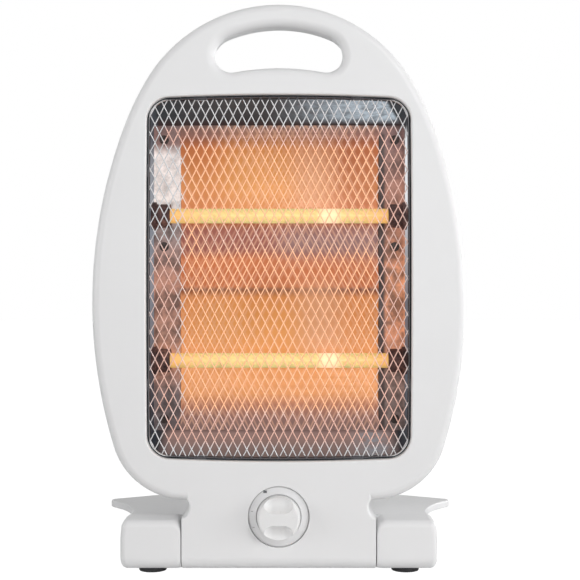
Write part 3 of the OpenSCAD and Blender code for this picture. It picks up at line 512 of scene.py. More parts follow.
def reflector_sheet(name):
    """Polished sheet lit by the coils. Emission, and the base colour as well, paint the glow that it mirrors
    to the front: painted reflections of the coils, patches of painted shade and a painted reflection of the
    guard.
    """
    s = Shader(name, Metallic=0.9)
    z = s.span(s.axis("Z"), 0.085, 0.302)
    glow = s.ramp(
        z,
        (0.00, srgb(104, 88, 88)), (0.05, srgb(130, 94, 88)), (0.095, srgb(172, 108, 78)),
        (0.13, srgb(220, 146, 82)), (0.21, srgb(236, 156, 86)), (0.30, srgb(240, 156, 88)),
        (0.44, srgb(234, 146, 80)), (0.460, srgb(150, 84, 58)), (0.466, srgb(120, 70, 54)),
        (0.474, srgb(200, 110, 62)), (0.56, srgb(208, 116, 62)), (0.59, srgb(150, 80, 66)),
        (0.655, srgb(148, 80, 70)), (0.70, srgb(204, 118, 62)), (0.80, srgb(218, 140, 74)),
        (0.92, srgb(204, 116, 62)), (0.955, srgb(132, 84, 72)), (1.00, srgb(92, 72, 70)))
    # Painted light: the golden and pale patches are painted reflections of the coils; the mauve and red
    # patches are painted shade.
    golden = s.times(patch(s, -14, 266, 26, 22, 14), 0.55)
    golden = s.math("ADD", golden, s.times(patch(s, -18, 162, 40, 18, 16), 0.5))
    pale = s.times(patch(s, 24, 262, 13, 26, 12), 0.6)
    pale = s.math("ADD", pale, s.times(patch(s, 28, 164, 15, 24, 13), 0.7))
    mauve = s.times(patch(s, 40, 219, 40, 10, 12), 0.85)
    red = s.times(patch(s, 52, 262, 18, 26, 10), 0.5)
    lit = s.mix(golden, s.mix(red, glow, srgb(176, 96, 66)), srgb(244, 172, 92))
    lit = s.mix(pale, lit, srgb(232, 172, 132))
    lit = s.mix(mauve, lit, srgb(136, 106, 108))
    # Painted reflection of the guard: lighter lines in its diamond pattern.
    painted_guard_reflection = s.times(s.lattice(6.1, 12.0, 0.2), s.span(s.noise(70.0), 0.3, 0.6, 0.35, 0.8))
    lit = s.mix(s.times(painted_guard_reflection, 0.5), lit, srgb(250, 196, 164))
    # Uneven strength of the painted glow.
    uneven_painted_glow = s.span(s.noise(30.0, 4.0, 0.6, stretch=(1, 1, 0.5)), 0.3, 0.7, 0.86, 1.08)
    # The base colour takes the painted glow's tones too.
    s.feed("Base Color", s.mix(0.8, (0.30, 0.25, 0.22), lit, "MULTIPLY"))
    s.feed("Emission Color", lit)
    s.feed("Emission Strength", s.times(uneven_painted_glow, 0.60))
    brushed = s.noise(500.0, 3.0, 0.6, stretch=(0.05, 1, 1))
    s.feed("Roughness", s.span(brushed, 0.3, 0.7, 0.3, 0.45))
    s.bump(brushed, 0.2, FINE_GRAIN)
    return s.material


def cheek_sheet(name):
    """Heat-stained sheet beside the reflector. Its emission is painted reflection of the room and of the
    glow, with painted shade in a strip at the right.
    """
    s = Shader(name, Metallic=0.6)
    stain = s.noise(75.0, 5.0, 0.7, stretch=(1, 1, 0.5))
    fine = s.noise(130.0, 5.0, 0.75)
    s.feed("Base Color", s.mix(stain, (0.09, 0.07, 0.065), (0.05, 0.04, 0.04)))
    z = s.span(s.axis("Z"), 0.085, 0.305)
    # Painted reflections, graded by height, one ramp for each side.
    left = s.ramp(
        z,
        (0.00, srgb(84, 76, 78)), (0.13, srgb(112, 98, 98)), (0.24, srgb(206, 138, 106)),
        (0.32, srgb(178, 128, 108)), (0.50, srgb(186, 130, 108)), (0.60, srgb(160, 132, 126)),
        (0.66, srgb(170, 150, 146)), (0.72, srgb(240, 228, 222)), (0.88, srgb(246, 234, 230)),
        (0.915, srgb(140, 108, 102)), (0.965, srgb(120, 92, 88)), (0.985, srgb(50, 50, 54)))
    right = s.ramp(
        z,
        (0.00, srgb(96, 84, 82)), (0.10, srgb(122, 102, 96)), (0.20, srgb(152, 120, 108)),
        (0.30, srgb(228, 150, 112)), (0.44, srgb(236, 156, 112)), (0.56, srgb(222, 146, 108)),
        (0.66, srgb(176, 120, 98)), (0.78, srgb(170, 118, 100)), (0.88, srgb(150, 110, 100)),
        (0.915, srgb(136, 100, 96)), (0.965, srgb(120, 92, 88)), (0.985, srgb(50, 50, 54)))
    lit = s.mix(s.span(s.axis("X"), -0.01, 0.01), left, right)
    # The strength of the painted reflections varies in patches and rises above the upper tube, most at the
    # left.
    painted_light_strength = s.span(s.noise(60.0, 3.0, 0.7, offset=(3, 1, 7)), 0.36, 0.6, 0.35, 1.15, True)
    bright = s.span(s.axis("Z"), 0.235, 0.25, smooth=True)
    painted_light_strength = s.math("MAXIMUM", painted_light_strength, s.times(bright, s.span(s.axis("X"), -0.01, 0.01, 1.1, 0.3)))
    lit = s.mix(1.0, lit, s.ramp(fine, (0.30, srgb(180, 180, 180)), (0.62, srgb(255, 255, 255))), "MULTIPLY")
    # Painted shade: a dark strip at the right, where the gap beside the reflector lies in shade.
    lit = s.mix(patch(s, 70, 190, 3, 104, 1.5), lit, srgb(34, 24, 24))
    s.feed("Emission Color", lit)
    s.feed("Emission Strength", s.times(painted_light_strength, 0.9))
    s.feed("Roughness", s.span(stain, 0.3, 0.7, 0.35, 0.55))
    s.bump(stain, 0.4, 0.00015)
    return s.material


def shield_sheet(name):
    """Dark sheet box. Its emission is painted light: painted reflections of the glow and, at the right, of
    the bright room it mirrors.
    """
    s = Shader(name, Metallic=0.35, Specular_IOR_Level=0.3)
    dents = s.noise(30.0, 4.0, 0.65)
    fine = s.noise(190.0, 4.0, 0.7)
    s.feed("Base Color", s.mix(s.span(dents, 0.35, 0.7), (0.014, 0.018, 0.023), (0.034, 0.042, 0.052)))
    depth = s.span(s.axis("Y"), FRONT_Y, FRONT_Y + SHIELD_T * MM)
    high, low = patch(s, 0, 330, 400, 28, 2), patch(s, 0, 50, 400, 38, 2)
    speckle = s.span(fine, 0.34, 0.56)

    # Top: charcoal, with a painted reflection, a cloud of light at the right that ends along a slanting edge.
    edge = s.math("SUBTRACT", s.axis("X"), s.math("ADD", s.times(depth, 0.021), 0.0665))
    cloud = s.times(s.span(s.axis("X"), -0.012, 0.066, smooth=True),
                   s.span(edge, -0.002, 0.001, 1.0, 0.0, True))
    cloud = s.times(s.times(cloud, high), s.span(fine, 0.38, 0.58, 0.4, 1.0))
    tone = s.mix(high, srgb(52, 38, 36), s.mix(dents, srgb(30, 34, 37), srgb(60, 65, 68)))
    tone = s.mix(cloud, tone, srgb(180, 192, 202))

    # Bottom: a painted reflection of the reflector's mauve lip, paler towards the back, with one pale painted
    # reflection, and painted shade at the sides.
    floor = s.mix(depth, srgb(84, 78, 76), srgb(156, 122, 114))
    floor = s.mix(s.times(patch(s, 64, 80, 8, 30, 14), speckle), floor, srgb(132, 136, 142))
    floor = s.mix(s.span(s.math("ABSOLUTE", s.axis("X")), 0.074, 0.082), floor, srgb(42, 42, 46))
    tone = s.mix(low, tone, floor)

    # Walls: painted reflections, grey-blue at the left and brightly speckled at the upper right.
    left = s.span(s.axis("X"), -0.0850, -0.0835, 1.0, 0.0)
    blue = s.mix(s.span(s.axis("Z"), 0.10, 0.20, smooth=True), srgb(36, 40, 48), srgb(130, 136, 146))
    blue = s.mix(s.span(s.axis("Z"), 0.255, 0.30, smooth=True), blue, srgb(62, 66, 72))
    tone = s.mix(s.times(left, 0.9), tone, blue)
    right = s.span(s.axis("X"), 0.0835, 0.0850)
    pale = s.ramp(s.span(s.axis("Z"), 0.085, 0.305), (0.0, srgb(54, 56, 60)), (0.20, srgb(84, 92, 102)),
                  (0.42, srgb(98, 104, 114)), (0.62, srgb(176, 180, 186)), (0.74, srgb(232, 236, 240)),
                  (0.93, srgb(236, 240, 244)), (0.97, srgb(54, 56, 60)))
    tone = s.mix(right, tone, s.mix(s.span(fine, 0.3, 0.6), s.mix(0.15, pale, (0, 0, 0)), pale))

    s.feed("Emission Color", tone)
    inside = s.span(s.axis("Y"), FRONT_Y + 7.5 * MM, FRONT_Y + 8.5 * MM)     # not on the front flange
    s.feed("Emission Strength", s.times(inside, 0.95))
    s.feed("Roughness", s.span(fine, 0.3, 0.7, 0.45, 0.65))
    s.bump(dents, 0.5, 0.0006)
    return s.material


def glowing(name, colour, edge, strength, spread):
    """Incandescent wire, redder towards its ends."""
    s = Shader(name, Roughness=0.4)
    ends = s.span(s.math("ABSOLUTE", s.axis("X")), spread * 0.6, spread, smooth=True)
    flicker = s.span(s.noise(260.0, 3.0, 0.7), 0.3, 0.7)
    tone = s.mix(s.times(flicker, 0.25), s.mix(ends, colour, edge), edge)
    s.feed("Base Color", tone)
    s.feed("Emission Color", tone)
    s.surface.inputs["Emission Strength"].default_value = strength
    return s.material


def quartz_glass(name, highlight_x):
    """Tube lit by its coil. Emission paints the hazy glow and one painted highlight, a bright reflection of
    the room.
    """
    s = Shader(name, Roughness=0.22, IOR=1.46, Transmission_Weight=0.35)
    ends = s.span(s.math("ABSOLUTE", s.axis("X")), 0.045, 0.078, smooth=True)
    curls = s.node("ShaderNodeTexWave", {"Vector": s.where, "Scale": 118.0, "Distortion": 2.2, "Detail": 2.0},
                   wave_type="BANDS", bands_direction="DIAGONAL").outputs["Fac"]
    ripple = s.times(curls, s.span(s.noise(90.0, 3.0, 0.7), 0.35, 0.65))
    warm = s.mix(s.times(ripple, 0.9), srgb(176, 206, 150), srgb(130, 150, 112))
    tone = s.mix(ends, warm, srgb(200, 168, 92))
    painted_highlight = s.span(s.math("ABSOLUTE", s.math("SUBTRACT", s.axis("X"), highlight_x)), 0.003, 0.010, 1.0, 0.0, True)
    tone = s.mix(painted_highlight, tone, srgb(255, 246, 226))
    s.surface.inputs["Base Color"].default_value = (*srgb(236, 206, 150), 1.0)
    s.feed("Emission Color", tone)
    s.surface.inputs["Emission Strength"].default_value = 0.42
    return s.material


# Dark brownish, mottled ceramic.
def ceramic(name):
    s = Shader(name, Specular_IOR_Level=0.4)
    dark_mottle = s.noise(120.0, 4.0, 0.7)
    s.feed("Base Color", s.ramp(dark_mottle, (0.35, srgb(58, 42, 42)), (0.55, srgb(108, 80, 76)),
                                (0.70, srgb(160, 116, 100))))
    s.feed("Roughness", s.span(dark_mottle, 0.3, 0.7, 0.5, 0.8))
    s.bump(dark_mottle, 0.4, 0.0001)
    return s.material


WHITE = (0.795, 0.795, 0.80)
material = {
    "white_moulding": moulded("white_moulding", WHITE),
    "knob_white": moulded("knob_white", (0.80, 0.80, 0.80), roughness=0.3, grain=1400.0),
    "dial_white": dial_plastic("dial_white", (0.74, 0.74, 0.745)),
    "plated_wire": guard_wire("plated_wire"),
    "shield_sheet": shield_sheet("shield_sheet"),
    "polished_reflector": reflector_sheet("polished_reflector"),
    "cheek_sheet": cheek_sheet("cheek_sheet"),
    "quartz": quartz_glass("quartz", 0.034),
    "glowing_wire": glowing("glowing_wire", (1.0, 0.62, 0.22), (1.0, 0.45, 0.10), 1.6, 0.074),
    "dark_ceramic": ceramic("dark_ceramic"),
    "zinc_steel": metal("zinc_steel", (0.62, 0.63, 0.64), 0.32),
    "screw_steel": metal("screw_steel", (0.58, 0.59, 0.60), 0.25),
    "sooty_steel": metal("sooty_steel", (0.10, 0.08, 0.075), 0.45, streak_scale=900.0, tint=0.6),
    "contact_brass": metal("contact_brass", (0.78, 0.58, 0.26), 0.28),
    "black_plastic": moulded("black_plastic", (0.03, 0.03, 0.032), 0.5, tint=0.2),
    "red_plastic": moulded("red_plastic", (0.5, 0.05, 0.03), 0.4, tint=0.1),
    "cream_plastic": moulded("cream_plastic", (0.78, 0.74, 0.62), 0.42),
    "black_rubber": rubber("black_rubber"),
}


SOOTY = {"cheek_screws": "sooty_steel"}     # nodes that the heat has darkened


def dress_cad():
    """Every CAD node gets its slot's material; finer pieces later replace some of them."""
    for part in frame["record"]["subparts"]:
        mesh = frame["nodes"][part["node"]].data
        mesh.materials.clear()
        mesh.materials.append(material[SOOTY.get(part["node"], part["material_slot"])])


# ---- Housing ----
BASE_TOP = OVAL_Z + FRONT_R + BACK_R
POST_R = 4.6


def base_profile(d):
    """(d, z) outline of the base from the side, moved in by d."""
    r = BASE_R - d
    back = arc((BODY_T - BASE_R, BASE_Z + BASE_R), r, 0, -90, 16)
    front = arc((BASE_R, BASE_Z + BASE_R), r, 270, 180, 16)
    return [(d, BASE_TOP), (BODY_T - d, BASE_TOP)] + back + front


def groove(grow):
    """(x, z) outline that the right-hand groove takes from the base, long below its middle."""
    r, drop = GROOVE_R + grow, GROOVE_DROP + grow
    x = BASE_W / 2
    top = BASE_TOP + OVER
    lower = [(a, GROOVE_Z + (b - GROOVE_Z) * drop / r) for a, b in arc((x, GROOVE_Z), r, 300, 180, 24)]
    upper = arc((x, GROOVE_Z), r, 175, 135, 8)
    return lower + upper + [(upper[-1][0], top), (x + 20, top), (x + 20, lower[0][1])]


def base_solid(inset):
    solid = make("base", *bar(base_profile(inset), -BASE_W / 2 + inset, BASE_W / 2 - inset))
    edge = [(-a, d) for a, d in round_edge(GROOVE_EDGE_R, 8)]
    profile = [(-GROOVE_EDGE_R, -OVER)] + edge + [(0, BODY_T + OVER)]
    cut = loft([[(x, d, z) for x, z in groove(-a + inset)] for a, d in profile])
    return carve(solid, merged("grooves", cut, mirrored(cut)))


def half_space(d0, d1):
    return make("half", *block(-BODY_W, BODY_W, d0, d1, -OVER, BODY_H + OVER))


def front_shell():
    outside = round_edge(FRONT_R, 14) + [(0, SPLIT_T - 0.5), (0.12, SPLIT_T - 0.15), (0.5, SPLIT_T)]
    inside = round_edge(FRONT_R - WALL, 5, WALL, WALL) + [(WALL, SPLIT_T + OVER)]
    shell = make("front_shell_moulding", *loft(oval_rings(outside)))
    carve(shell, carve(base_solid(0), half_space(SPLIT_T, BODY_T + OVER)), "UNION")
    carve(shell, make("hollow", *loft(oval_rings(inside))))
    carve(shell, base_solid(WALL))
    wall = [(GRIP_R + WALL, 0.5), (GRIP_R, GRIP_R), (WALL, GRIP_R + WALL), (WALL, SPLIT_T)]
    carve(shell, grip_skin_object(wall), "UNION")
    carve(shell, make("lip", *slab(window(WALL), 0.5, WINDOW_LIP)), "UNION")
    recess_back = RECESS_T + RECESS_FLOOR
    well = [(0, 0.5), (DIAL_R + WALL, 0.5), (DIAL_R + WALL, recess_back), (0, recess_back)]
    carve(shell, make("well", *lathe(well, (0, 0, KNOB_Z), sides=96)), "UNION")
    edge = [(1.2, -OVER)] + round_edge(1.2, 5) + [(0, WINDOW_LIP + OVER)]
    carve(shell, make("opening", *loft([[(x, d, z) for x, z in window(a)] for a, d in edge])))
    carve(shell, grip_skin_object([(GRIP_R, -OVER)] + round_edge(GRIP_R, 14) + [(0, SPLIT_T + OVER)]))
    r = DIAL_R + FIT
    recess = [(0, -OVER), (r + 0.5, -OVER), (r + 0.5, 0), (r + 0.15, 0.12), (r, 0.5), (r, RECESS_T),
              (NECK_R + FIT, RECESS_T), (NECK_R + FIT, recess_back + OVER), (0, recess_back + OVER)]
    carve(shell, make("recess", *lathe(recess, (0, 0, KNOB_Z), sides=128)))
    return settle(shell, material["white_moulding"], "housing", ["front_shell"])


def grip_skin_object(profile):
    return make("grip", *grip_skin(profile))


def vents(z0):
    """A row of upright slots with round ends, cut through the back wall."""
    parts = []
    width, pitch, height, count = 3.2, 9.5, 26.0, 13
    for i in range(count):
        x = (i - (count - 1) / 2) * pitch
        r = width / 2
        outline = arc((x, z0 + height - r), r, 180, 0, 8) + arc((x, z0 + r), r, 0, -180, 8)
        parts.append(slab(outline, BODY_T - WALL - 2, BODY_T + 2))
    return parts


def post_places():
    """(x, z) of the screw wells, which lie on the CAD model's screws."""
    places = []
    for z, inward in ((WINDOW_TOP + 21, 20), (258, WALL + POST_R + 6), (165, WALL + POST_R + 6)):
        level = OVAL_Z + (z - OVAL_Z) * (BODY_H - OVAL_Z) / (CAD_H - OVAL_Z)
        places.append((oval_x(level) - inward, z))
    return places + [(BASE_W / 2 + 10, OVAL_Z + WALL + POST_R + 8.6)]


def rear_shell():
    outside = [(0.5, REAR_Y), (0.12, REAR_Y + 0.15), (0, REAR_Y + 0.5)]
    outside += round_back(BACK_R, 16, BACK_DRAFT, BODY_T)
    inside = [(WALL, REAR_Y - OVER)] + round_back(BACK_R - WALL, 6, WALL + BACK_DRAFT, BODY_T - WALL)
    shell = make("rear_shell_moulding", *loft(oval_rings(outside), strip_back=True))
    carve(shell, carve(base_solid(0), half_space(-OVER, REAR_Y)), "UNION")
    carve(shell, make("hollow", *loft(oval_rings(inside), strip_back=True)))
    carve(shell, base_solid(WALL))
    wall = [(WALL, REAR_Y), (WALL, BODY_T - GRIP_R - WALL), (GRIP_R + WALL, BODY_T - 0.5)]
    carve(shell, grip_skin_object(wall), "UNION")
    well_r, seat, head_r = 6.0, SPLIT_T + 6, 3.7
    wells, bores = [], []
    for x, z in post_places():
        back = back_y(z) - (2.0 if z > SLOPE_Z else 0.8)
        well = [(0, seat - 2.2), (well_r, seat - 2.2), (well_r, back), (0, back)]
        wells.append(lathe(well, (x, 0, z), sides=40))
        bores.append(lathe([(0, seat), (head_r, seat), (head_r, BODY_T + OVER), (0, BODY_T + OVER)],
                           (x, 0, z), sides=40))
    carve(shell, merged("wells", *wells, *[mirrored(w) for w in wells]), "UNION")
    cuts = bores + [mirrored(b) for b in bores] + vents(WINDOW_TOP - 52) + vents(WINDOW_Z + 14)
    hole_r = CORD_R + 2.7
    hole = [(0, BODY_T - 2 * WALL), (hole_r, BODY_T - 2 * WALL), (hole_r, BODY_T + OVER), (0, BODY_T + OVER)]
    cuts.append(lathe(hole, (CORD_X, 0, CORD_Z), sides=48))
    carve(shell, merged("cuts", *cuts))
    opening = [(0, REAR_Y - OVER)] + round_back(GRIP_R, 14, 0, BODY_T) + [(GRIP_R, BODY_T + 4)]
    carve(shell, grip_skin_object(opening))
    return settle(shell, material["white_moulding"], "housing", ["rear_shell"])


# ---- Wires ----
def wire_faces(n, sides, closed=False):
    """Faces of a wire of n rings; an open one gets end caps."""
    faces = []
    for i in range(n if closed else n - 1):
        for k in range(sides):
            a, b = i * sides, ((i + 1) % n) * sides
            faces.append([a + k, a + (k + 1) % sides, b + (k + 1) % sides, b + k])
    if not closed:
        faces += [list(range(sides)), [(n - 1) * sides + k for k in range(sides)]]
    return faces


def tube(path, radius, sides=6, closed=False):
    """A round wire along a list of (x, d, z) points."""
    points = [Vector(p) for p in path]
    n = len(points)
    verts = []
    up = Vector((0, 1, 0))
    for i, here in enumerate(points):
        before = points[i - 1] if i or closed else here
        after = points[(i + 1) % n] if i < n - 1 or closed else here
        along = (after - before).normalized()
        across = along.cross(up).normalized()
        level = across.cross(along)
        for k in range(sides):
            turn = 2 * math.pi * k / sides
            verts.append(tuple(here + radius * (math.cos(turn) * across + math.sin(turn) * level)))
    return verts, wire_faces(n, sides, closed)


def half_width(outline, z):
    """Half width of a symmetric convex outline at height z, or -1 outside it."""
    best = -1.0
    for (x0, z0), (x1, z1) in zip(outline, outline[1:] + outline[:1]):
        if min(z0, z1) <= z <= max(z0, z1) and z0 != z1:
            best = max(best, abs(x0 + (x1 - x0) * (z - z0) / (z1 - z0)))
    return best


def grille_wire(index, lean, edge):
    """One slanting wire of the guard, woven over and under the others, clipped to the rim."""
    middle = WINDOW_MIDDLE
    step = DIAMOND_H / 8
    slope = lean * DIAMOND_W / DIAMOND_H
    inside = []
    for k in range(-90, 91):
        z = k * step
        x = index * DIAMOND_W + slope * z
        if abs(x) <= half_width(edge, z + middle):
            weave = lean * WIRE_T * 0.5 * math.cos(math.pi * (2 * z / DIAMOND_H + index))
            inside.append((x, WIRE_D + weave, z + middle))
    if len(inside) < 2:
        return None
    ends = []
    for end, beside in ((inside[0], inside[1]), (inside[-1], inside[-2])):
        way = Vector(end) - Vector(beside)
        reach = 1.0
        while abs(end[0] + way.x * reach) > half_width(edge, end[2] + way.z * reach):
            reach -= 0.05
        ends.append(tuple(Vector(end) + way * max(reach, 0.0)))
    return tube([ends[0]] + inside + [ends[1]], WIRE_T / 2)


def grille():
    edge = window(-RIM_GAP - RIM_W / 2)
    rim = tube([(x, WIRE_D, z) for x, z in edge], RIM_W / 2, sides=10, closed=True)
    parts = [rim]
    for lean in (1, -1):
        for index in range(-36, 37):
            wire = grille_wire(index, lean, edge)
            if wire:
                parts.append(wire)
    rise, middle = WINDOW_RISE, WINDOW_MIDDLE
    high, wide = rise + WINDOW_BOW, WINDOW_W / 2
    ear = EAR_W / 2
    for x in (-EAR_PLACE * wide, EAR_PLACE * wide):
        for z0, z1 in ((middle + high - 3.4, middle + high + EAR_REACH),
                       (middle - high - EAR_REACH, middle - high + 3.4)):
            parts.append(block(x - ear, x + ear, EAR_D, EAR_D + EAR_T, z0, z1))
    for z in (-EAR_PLACE * rise + middle, EAR_PLACE * rise + middle):
        for x0, x1 in ((wide - 1.4, wide + EAR_REACH), (-wide - EAR_REACH, -wide + 1.4)):
            parts.append(block(x0, x1, EAR_D, EAR_D + EAR_T, z - ear, z + ear))
    stay = [[(x, d, z) for x, z in window(grow)] for grow, d in
            ((-RIM_GAP - 0.2, WIRE_D), (-RIM_GAP - 0.2, EAR_D + EAR_T))]
    inner = [[(x, d, z) for x, z in window(grow)] for grow, d in
             ((-RIM_GAP - 0.7, EAR_D + EAR_T), (-RIM_GAP - 0.7, WIRE_D))]
    parts.append(band(stay + inner))
    guard = merged("wire_guard", *parts)
    return settle(guard, material["plated_wire"], "housing", ["grille"], 60)


def band(rings):
    """A closed ring of material through rings of equal length, joined end to end."""
    n, m = len(rings[0]), len(rings)
    verts = [tuple(p) for ring in rings for p in ring]
    faces = []
    for j in range(m):
        for i in range(n):
            a, b = j * n + i, j * n + (i + 1) % n
            c, d = ((j + 1) % m) * n + (i + 1) % n, ((j + 1) % m) * n + i
            faces.append([a, b, c, d])
    return verts, faces


def heating_coil(name, z, node):
    """The glowing wire, wound a little finer than the CAD coil, with straight ends."""
    curls, steps = 66, 14
    points = [(-COIL_L / 2 - 5.5, TUBE_Y, z + COIL_R)]
    for k in range(curls * steps + 1):
        turn = 2 * math.pi * k / steps
        points.append((-COIL_L / 2 + COIL_L * k / (curls * steps),
                       TUBE_Y + COIL_R * math.sin(turn), z + COIL_R * math.cos(turn)))
    points.append((COIL_L / 2 + 5.5, TUBE_Y, z + COIL_R))
    verts, faces = helix_tube(points, COIL_WIRE, z)
    return settle(make(name, verts, faces), material["glowing_wire"], "housing", [node], 80)


def helix_tube(points, radius, z):
    """Like tube(), with its sides counted from the coil's axis so that they don't twist."""
    verts, sides = [], 6
    for i, here in enumerate(points):
        along = (Vector(points[min(i + 1, len(points) - 1)]) - Vector(points[max(i - 1, 0)])).normalized()
        out = Vector((0, here[1] - TUBE_Y, here[2] - z)).normalized()
        side = along.cross(out).normalized()
        out = side.cross(along)
        for k in range(sides):
            turn = 2 * math.pi * k / sides
            verts.append(tuple(Vector(here) + radius * (math.cos(turn) * out + math.sin(turn) * side)))
    return verts, wire_faces(len(points), sides)


# ---- Knob and dial ----
def knob():
    top = [(0, -KNOB_OUT), (KNOB_R - 2.6, -KNOB_OUT)]
    top += [(KNOB_R - 2.6 + 2.0 * math.sin(t), -KNOB_OUT + 2.0 - 2.0 * math.cos(t))
            for t in (math.pi / 2 * k / 10 for k in range(1, 11))]
    skirt = [(KNOB_R, -0.2), (KNOB_R, RECESS_T - 0.5), (0, RECESS_T - 0.5)]
    body = make("control_knob", *lathe(top + skirt, (0, 0, KNOB_Z), sides=128))
    under = [(8.3, -0.2), (KNOB_R - 2, -0.2), (KNOB_R - 2, RECESS_T), (8.3, RECESS_T)]
    carve(body, make("under", *lathe(under, (0, 0, KNOB_Z), sides=96)))
    for side in (1, -1):
        ends = [(SCOOP_R * math.sin(t), SCOOP_R * math.cos(t))
                for t in (math.pi / 2 * k / 20 for k in range(21))]
        shape = [(r, SCOOP_HALF + a) for r, a in ends] + [(r, -SCOOP_HALF - a) for r, a in reversed(ends)]
        shape[0], shape[-1] = (0, SCOOP_HALF + SCOOP_R), (0, -SCOOP_HALF - SCOOP_R)
        centre = (0, -KNOB_OUT - SCOOP_OUT, KNOB_Z + side * SCOOP_Z)
        carve(body, make("scoop", *lathe(shape, centre, "x", 96)))
    return settle(body, material["knob_white"], "knob", ["knob"], 26)


def dial():
    inner, outer = KNOB_R + FIT, DIAL_R
    brink = (outer - 0.9, 1.3 * (outer - 0.9 - inner) / (outer - inner))
    profile = [(inner, 0.5), (inner + 0.12, 0.22), (inner + 0.4, 0.1), brink,
               (outer - 0.3, 1.42), (outer, 1.8), (outer, RECESS_T - 0.1), (inner, RECESS_T - 0.1)]
    return settle(make("dial", *lathe(profile, (0, 0, KNOB_Z), sides=128)), material["dial_white"], "housing",
                  ["dial_ring"], 20)


# ---- Feet ----
FOOT_X0, FOOT_X1 = BASE_W / 2 + FOOT_GAP, BASE_W / 2 + FOOT_GAP + FOOT_W
PAD_X = BASE_W / 2 + FOOT_GAP + FOOT_W / 2
FOOT_END_R, FOOT_BACK_R, FOOT_LOW_R, FOOT_FRONT_R, FOOT_SEAM_R = 4.2, 13.0, 6.0, 5.0, 6.0
FOOT_BOW_TOP, FOOT_BOW_LOW = 1.4, 0.3     # how far a foot's outer end draws in at its top and bottom
WING_Y, WING_TIP_Y, WING_TIP_R, REAR_PAD_Y = 22.0, 104.0, 9.0, 120.0
WING_FLARE, WING_CURL, WING_BACK = 0.8, 0.65, (66, 60)     # its flared edge and its rounded back end
RIB_T = 3.0


def foot_profile(top):
    """(d, z) outline of a foot's block, its upright faces split so that the outer end can bow."""
    outline = (arc((FOOT_FRONT_R, top - FOOT_FRONT_R), FOOT_FRONT_R, 180, 90, 14)
               + arc((FOOT_T - FOOT_BACK_R, top - FOOT_BACK_R), FOOT_BACK_R, 90, 0, 18)
               + arc((FOOT_T - FOOT_LOW_R, BASE_Z + FOOT_LOW_R), FOOT_LOW_R, 0, -90, 10)
               + arc((BASE_R, BASE_Z + BASE_R), BASE_R, 270, 180, 14))
    low, high = outline[-1], outline[0]
    return outline + [(low[0], low[1] + (high[1] - low[1]) * k / 8) for k in range(1, 8)]


def end_bow(z):
    """How far the outer end of a foot stands inside its widest point at height z."""
    middle, half = (FOOT_H + BASE_Z) / 2, (FOOT_H - BASE_Z) / 2
    share = (z - middle) / half
    return (FOOT_BOW_TOP if share > 0 else FOOT_BOW_LOW) * share * share


def wing_plan():
    """(x, d) outline of a wing, as in the CAD part but finer."""
    neck_x, neck_y = FOOT_X1 - FOOT_END_R + 0.5, FOOT_T + 2
    tip_x = FOOT_X1 + WING_OUT
    points = [(FOOT_X0, WING_Y), (neck_x, WING_Y), (neck_x, neck_y)]
    for k in range(1, 17):
        t = k / 20
        points.append((neck_x + (tip_x - neck_x) * WING_FLARE * t * (1 - WING_CURL * (1 - t)),
                       neck_y + (WING_TIP_Y - WING_TIP_R - neck_y) * t))
    points += arc((tip_x - WING_TIP_R, WING_TIP_Y), WING_TIP_R, -35, 65, 20)
    for a in range(62, 91, 2):
        t = math.radians(a)
        points.append((FOOT_X0 + WING_BACK[0] * math.cos(t), FOOT_REACH - WING_BACK[1] * (1 - math.sin(t))))
    return points


def wing():
    """The wing as a plate with softened edges, sloping down to the back."""
    plan = wing_plan()
    rings = []
    for inset, level in ((0.9, 0.0), (0.5, -0.12), (0.15, -0.45), (0, -0.9), (0, 0.9 - WING_T),
                         (0.15, 0.45 - WING_T), (0.9, -WING_T)):
        rings.append([(x, d, level) for x, d in inset_outline(plan[::-1], inset)])
    verts, faces = loft(rings)
    turn = Matrix.Rotation(math.radians(-WING_SLOPE), 3, "X")
    moved = []
    for point in verts:
        p = turn @ (Vector(point) - Vector((0, WING_Y, 0)))
        moved.append((p.x, p.y + WING_Y, p.z + FOOT_H - 0.2))
    return moved, faces


def foot(name, node, side):
    rings = []
    seam = [(0.6 * (1 - math.sin(t)), FOOT_SEAM_R * (1 - math.cos(t)), FOOT_SEAM_R * (1 - math.sin(t)))
            for t in (math.pi / 2 * k / 12 for k in range(13))]
    for inset, along, fall in seam:
        profile = inset_outline(foot_profile(FOOT_H - fall), inset)
        rings.append([(FOOT_X0 + along, d, z) for d, z in profile])
    for inset, along in reversed(round_edge(FOOT_END_R, 12)):
        profile = inset_outline(foot_profile(FOOT_H), inset)
        rings.append([(FOOT_X1 - along - end_bow(z), d, z) for d, z in profile])
    body = make(name, *loft(rings))
    carve(body, make("wing", *wing()), "UNION")
    rib = [(FOOT_T - 1, BASE_Z + 8), (FOOT_T - 1, FOOT_H - 6), (REAR_PAD_Y, FOOT_H - 12),
           (REAR_PAD_Y, BASE_Z + 8), (REAR_PAD_Y - 20, BASE_Z + 10)]
    carve(body, make("rib", *bar(rib, PAD_X - RIB_T / 2, PAD_X + RIB_T / 2)), "UNION")
    leg = lathe([(0, BASE_Z), (8.2, BASE_Z), (8.6, BASE_Z + 0.4), (11.0, BASE_Z + 24), (0, BASE_Z + 24)],
                (PAD_X, REAR_PAD_Y, 0), "z", 64)
    carve(body, make("leg", *leg), "UNION")
    if side < 0:
        body.data.transform(Matrix.Scale(-1, 4, (1, 0, 0)))
        body.data.flip_normals()
    return settle(body, material["white_moulding"], "housing", [node])


# ---- Camera, light and surroundings ----
CAMERA_SPOT, CAMERA_LENS = (7.3, -750.0, 185.6), 71.6


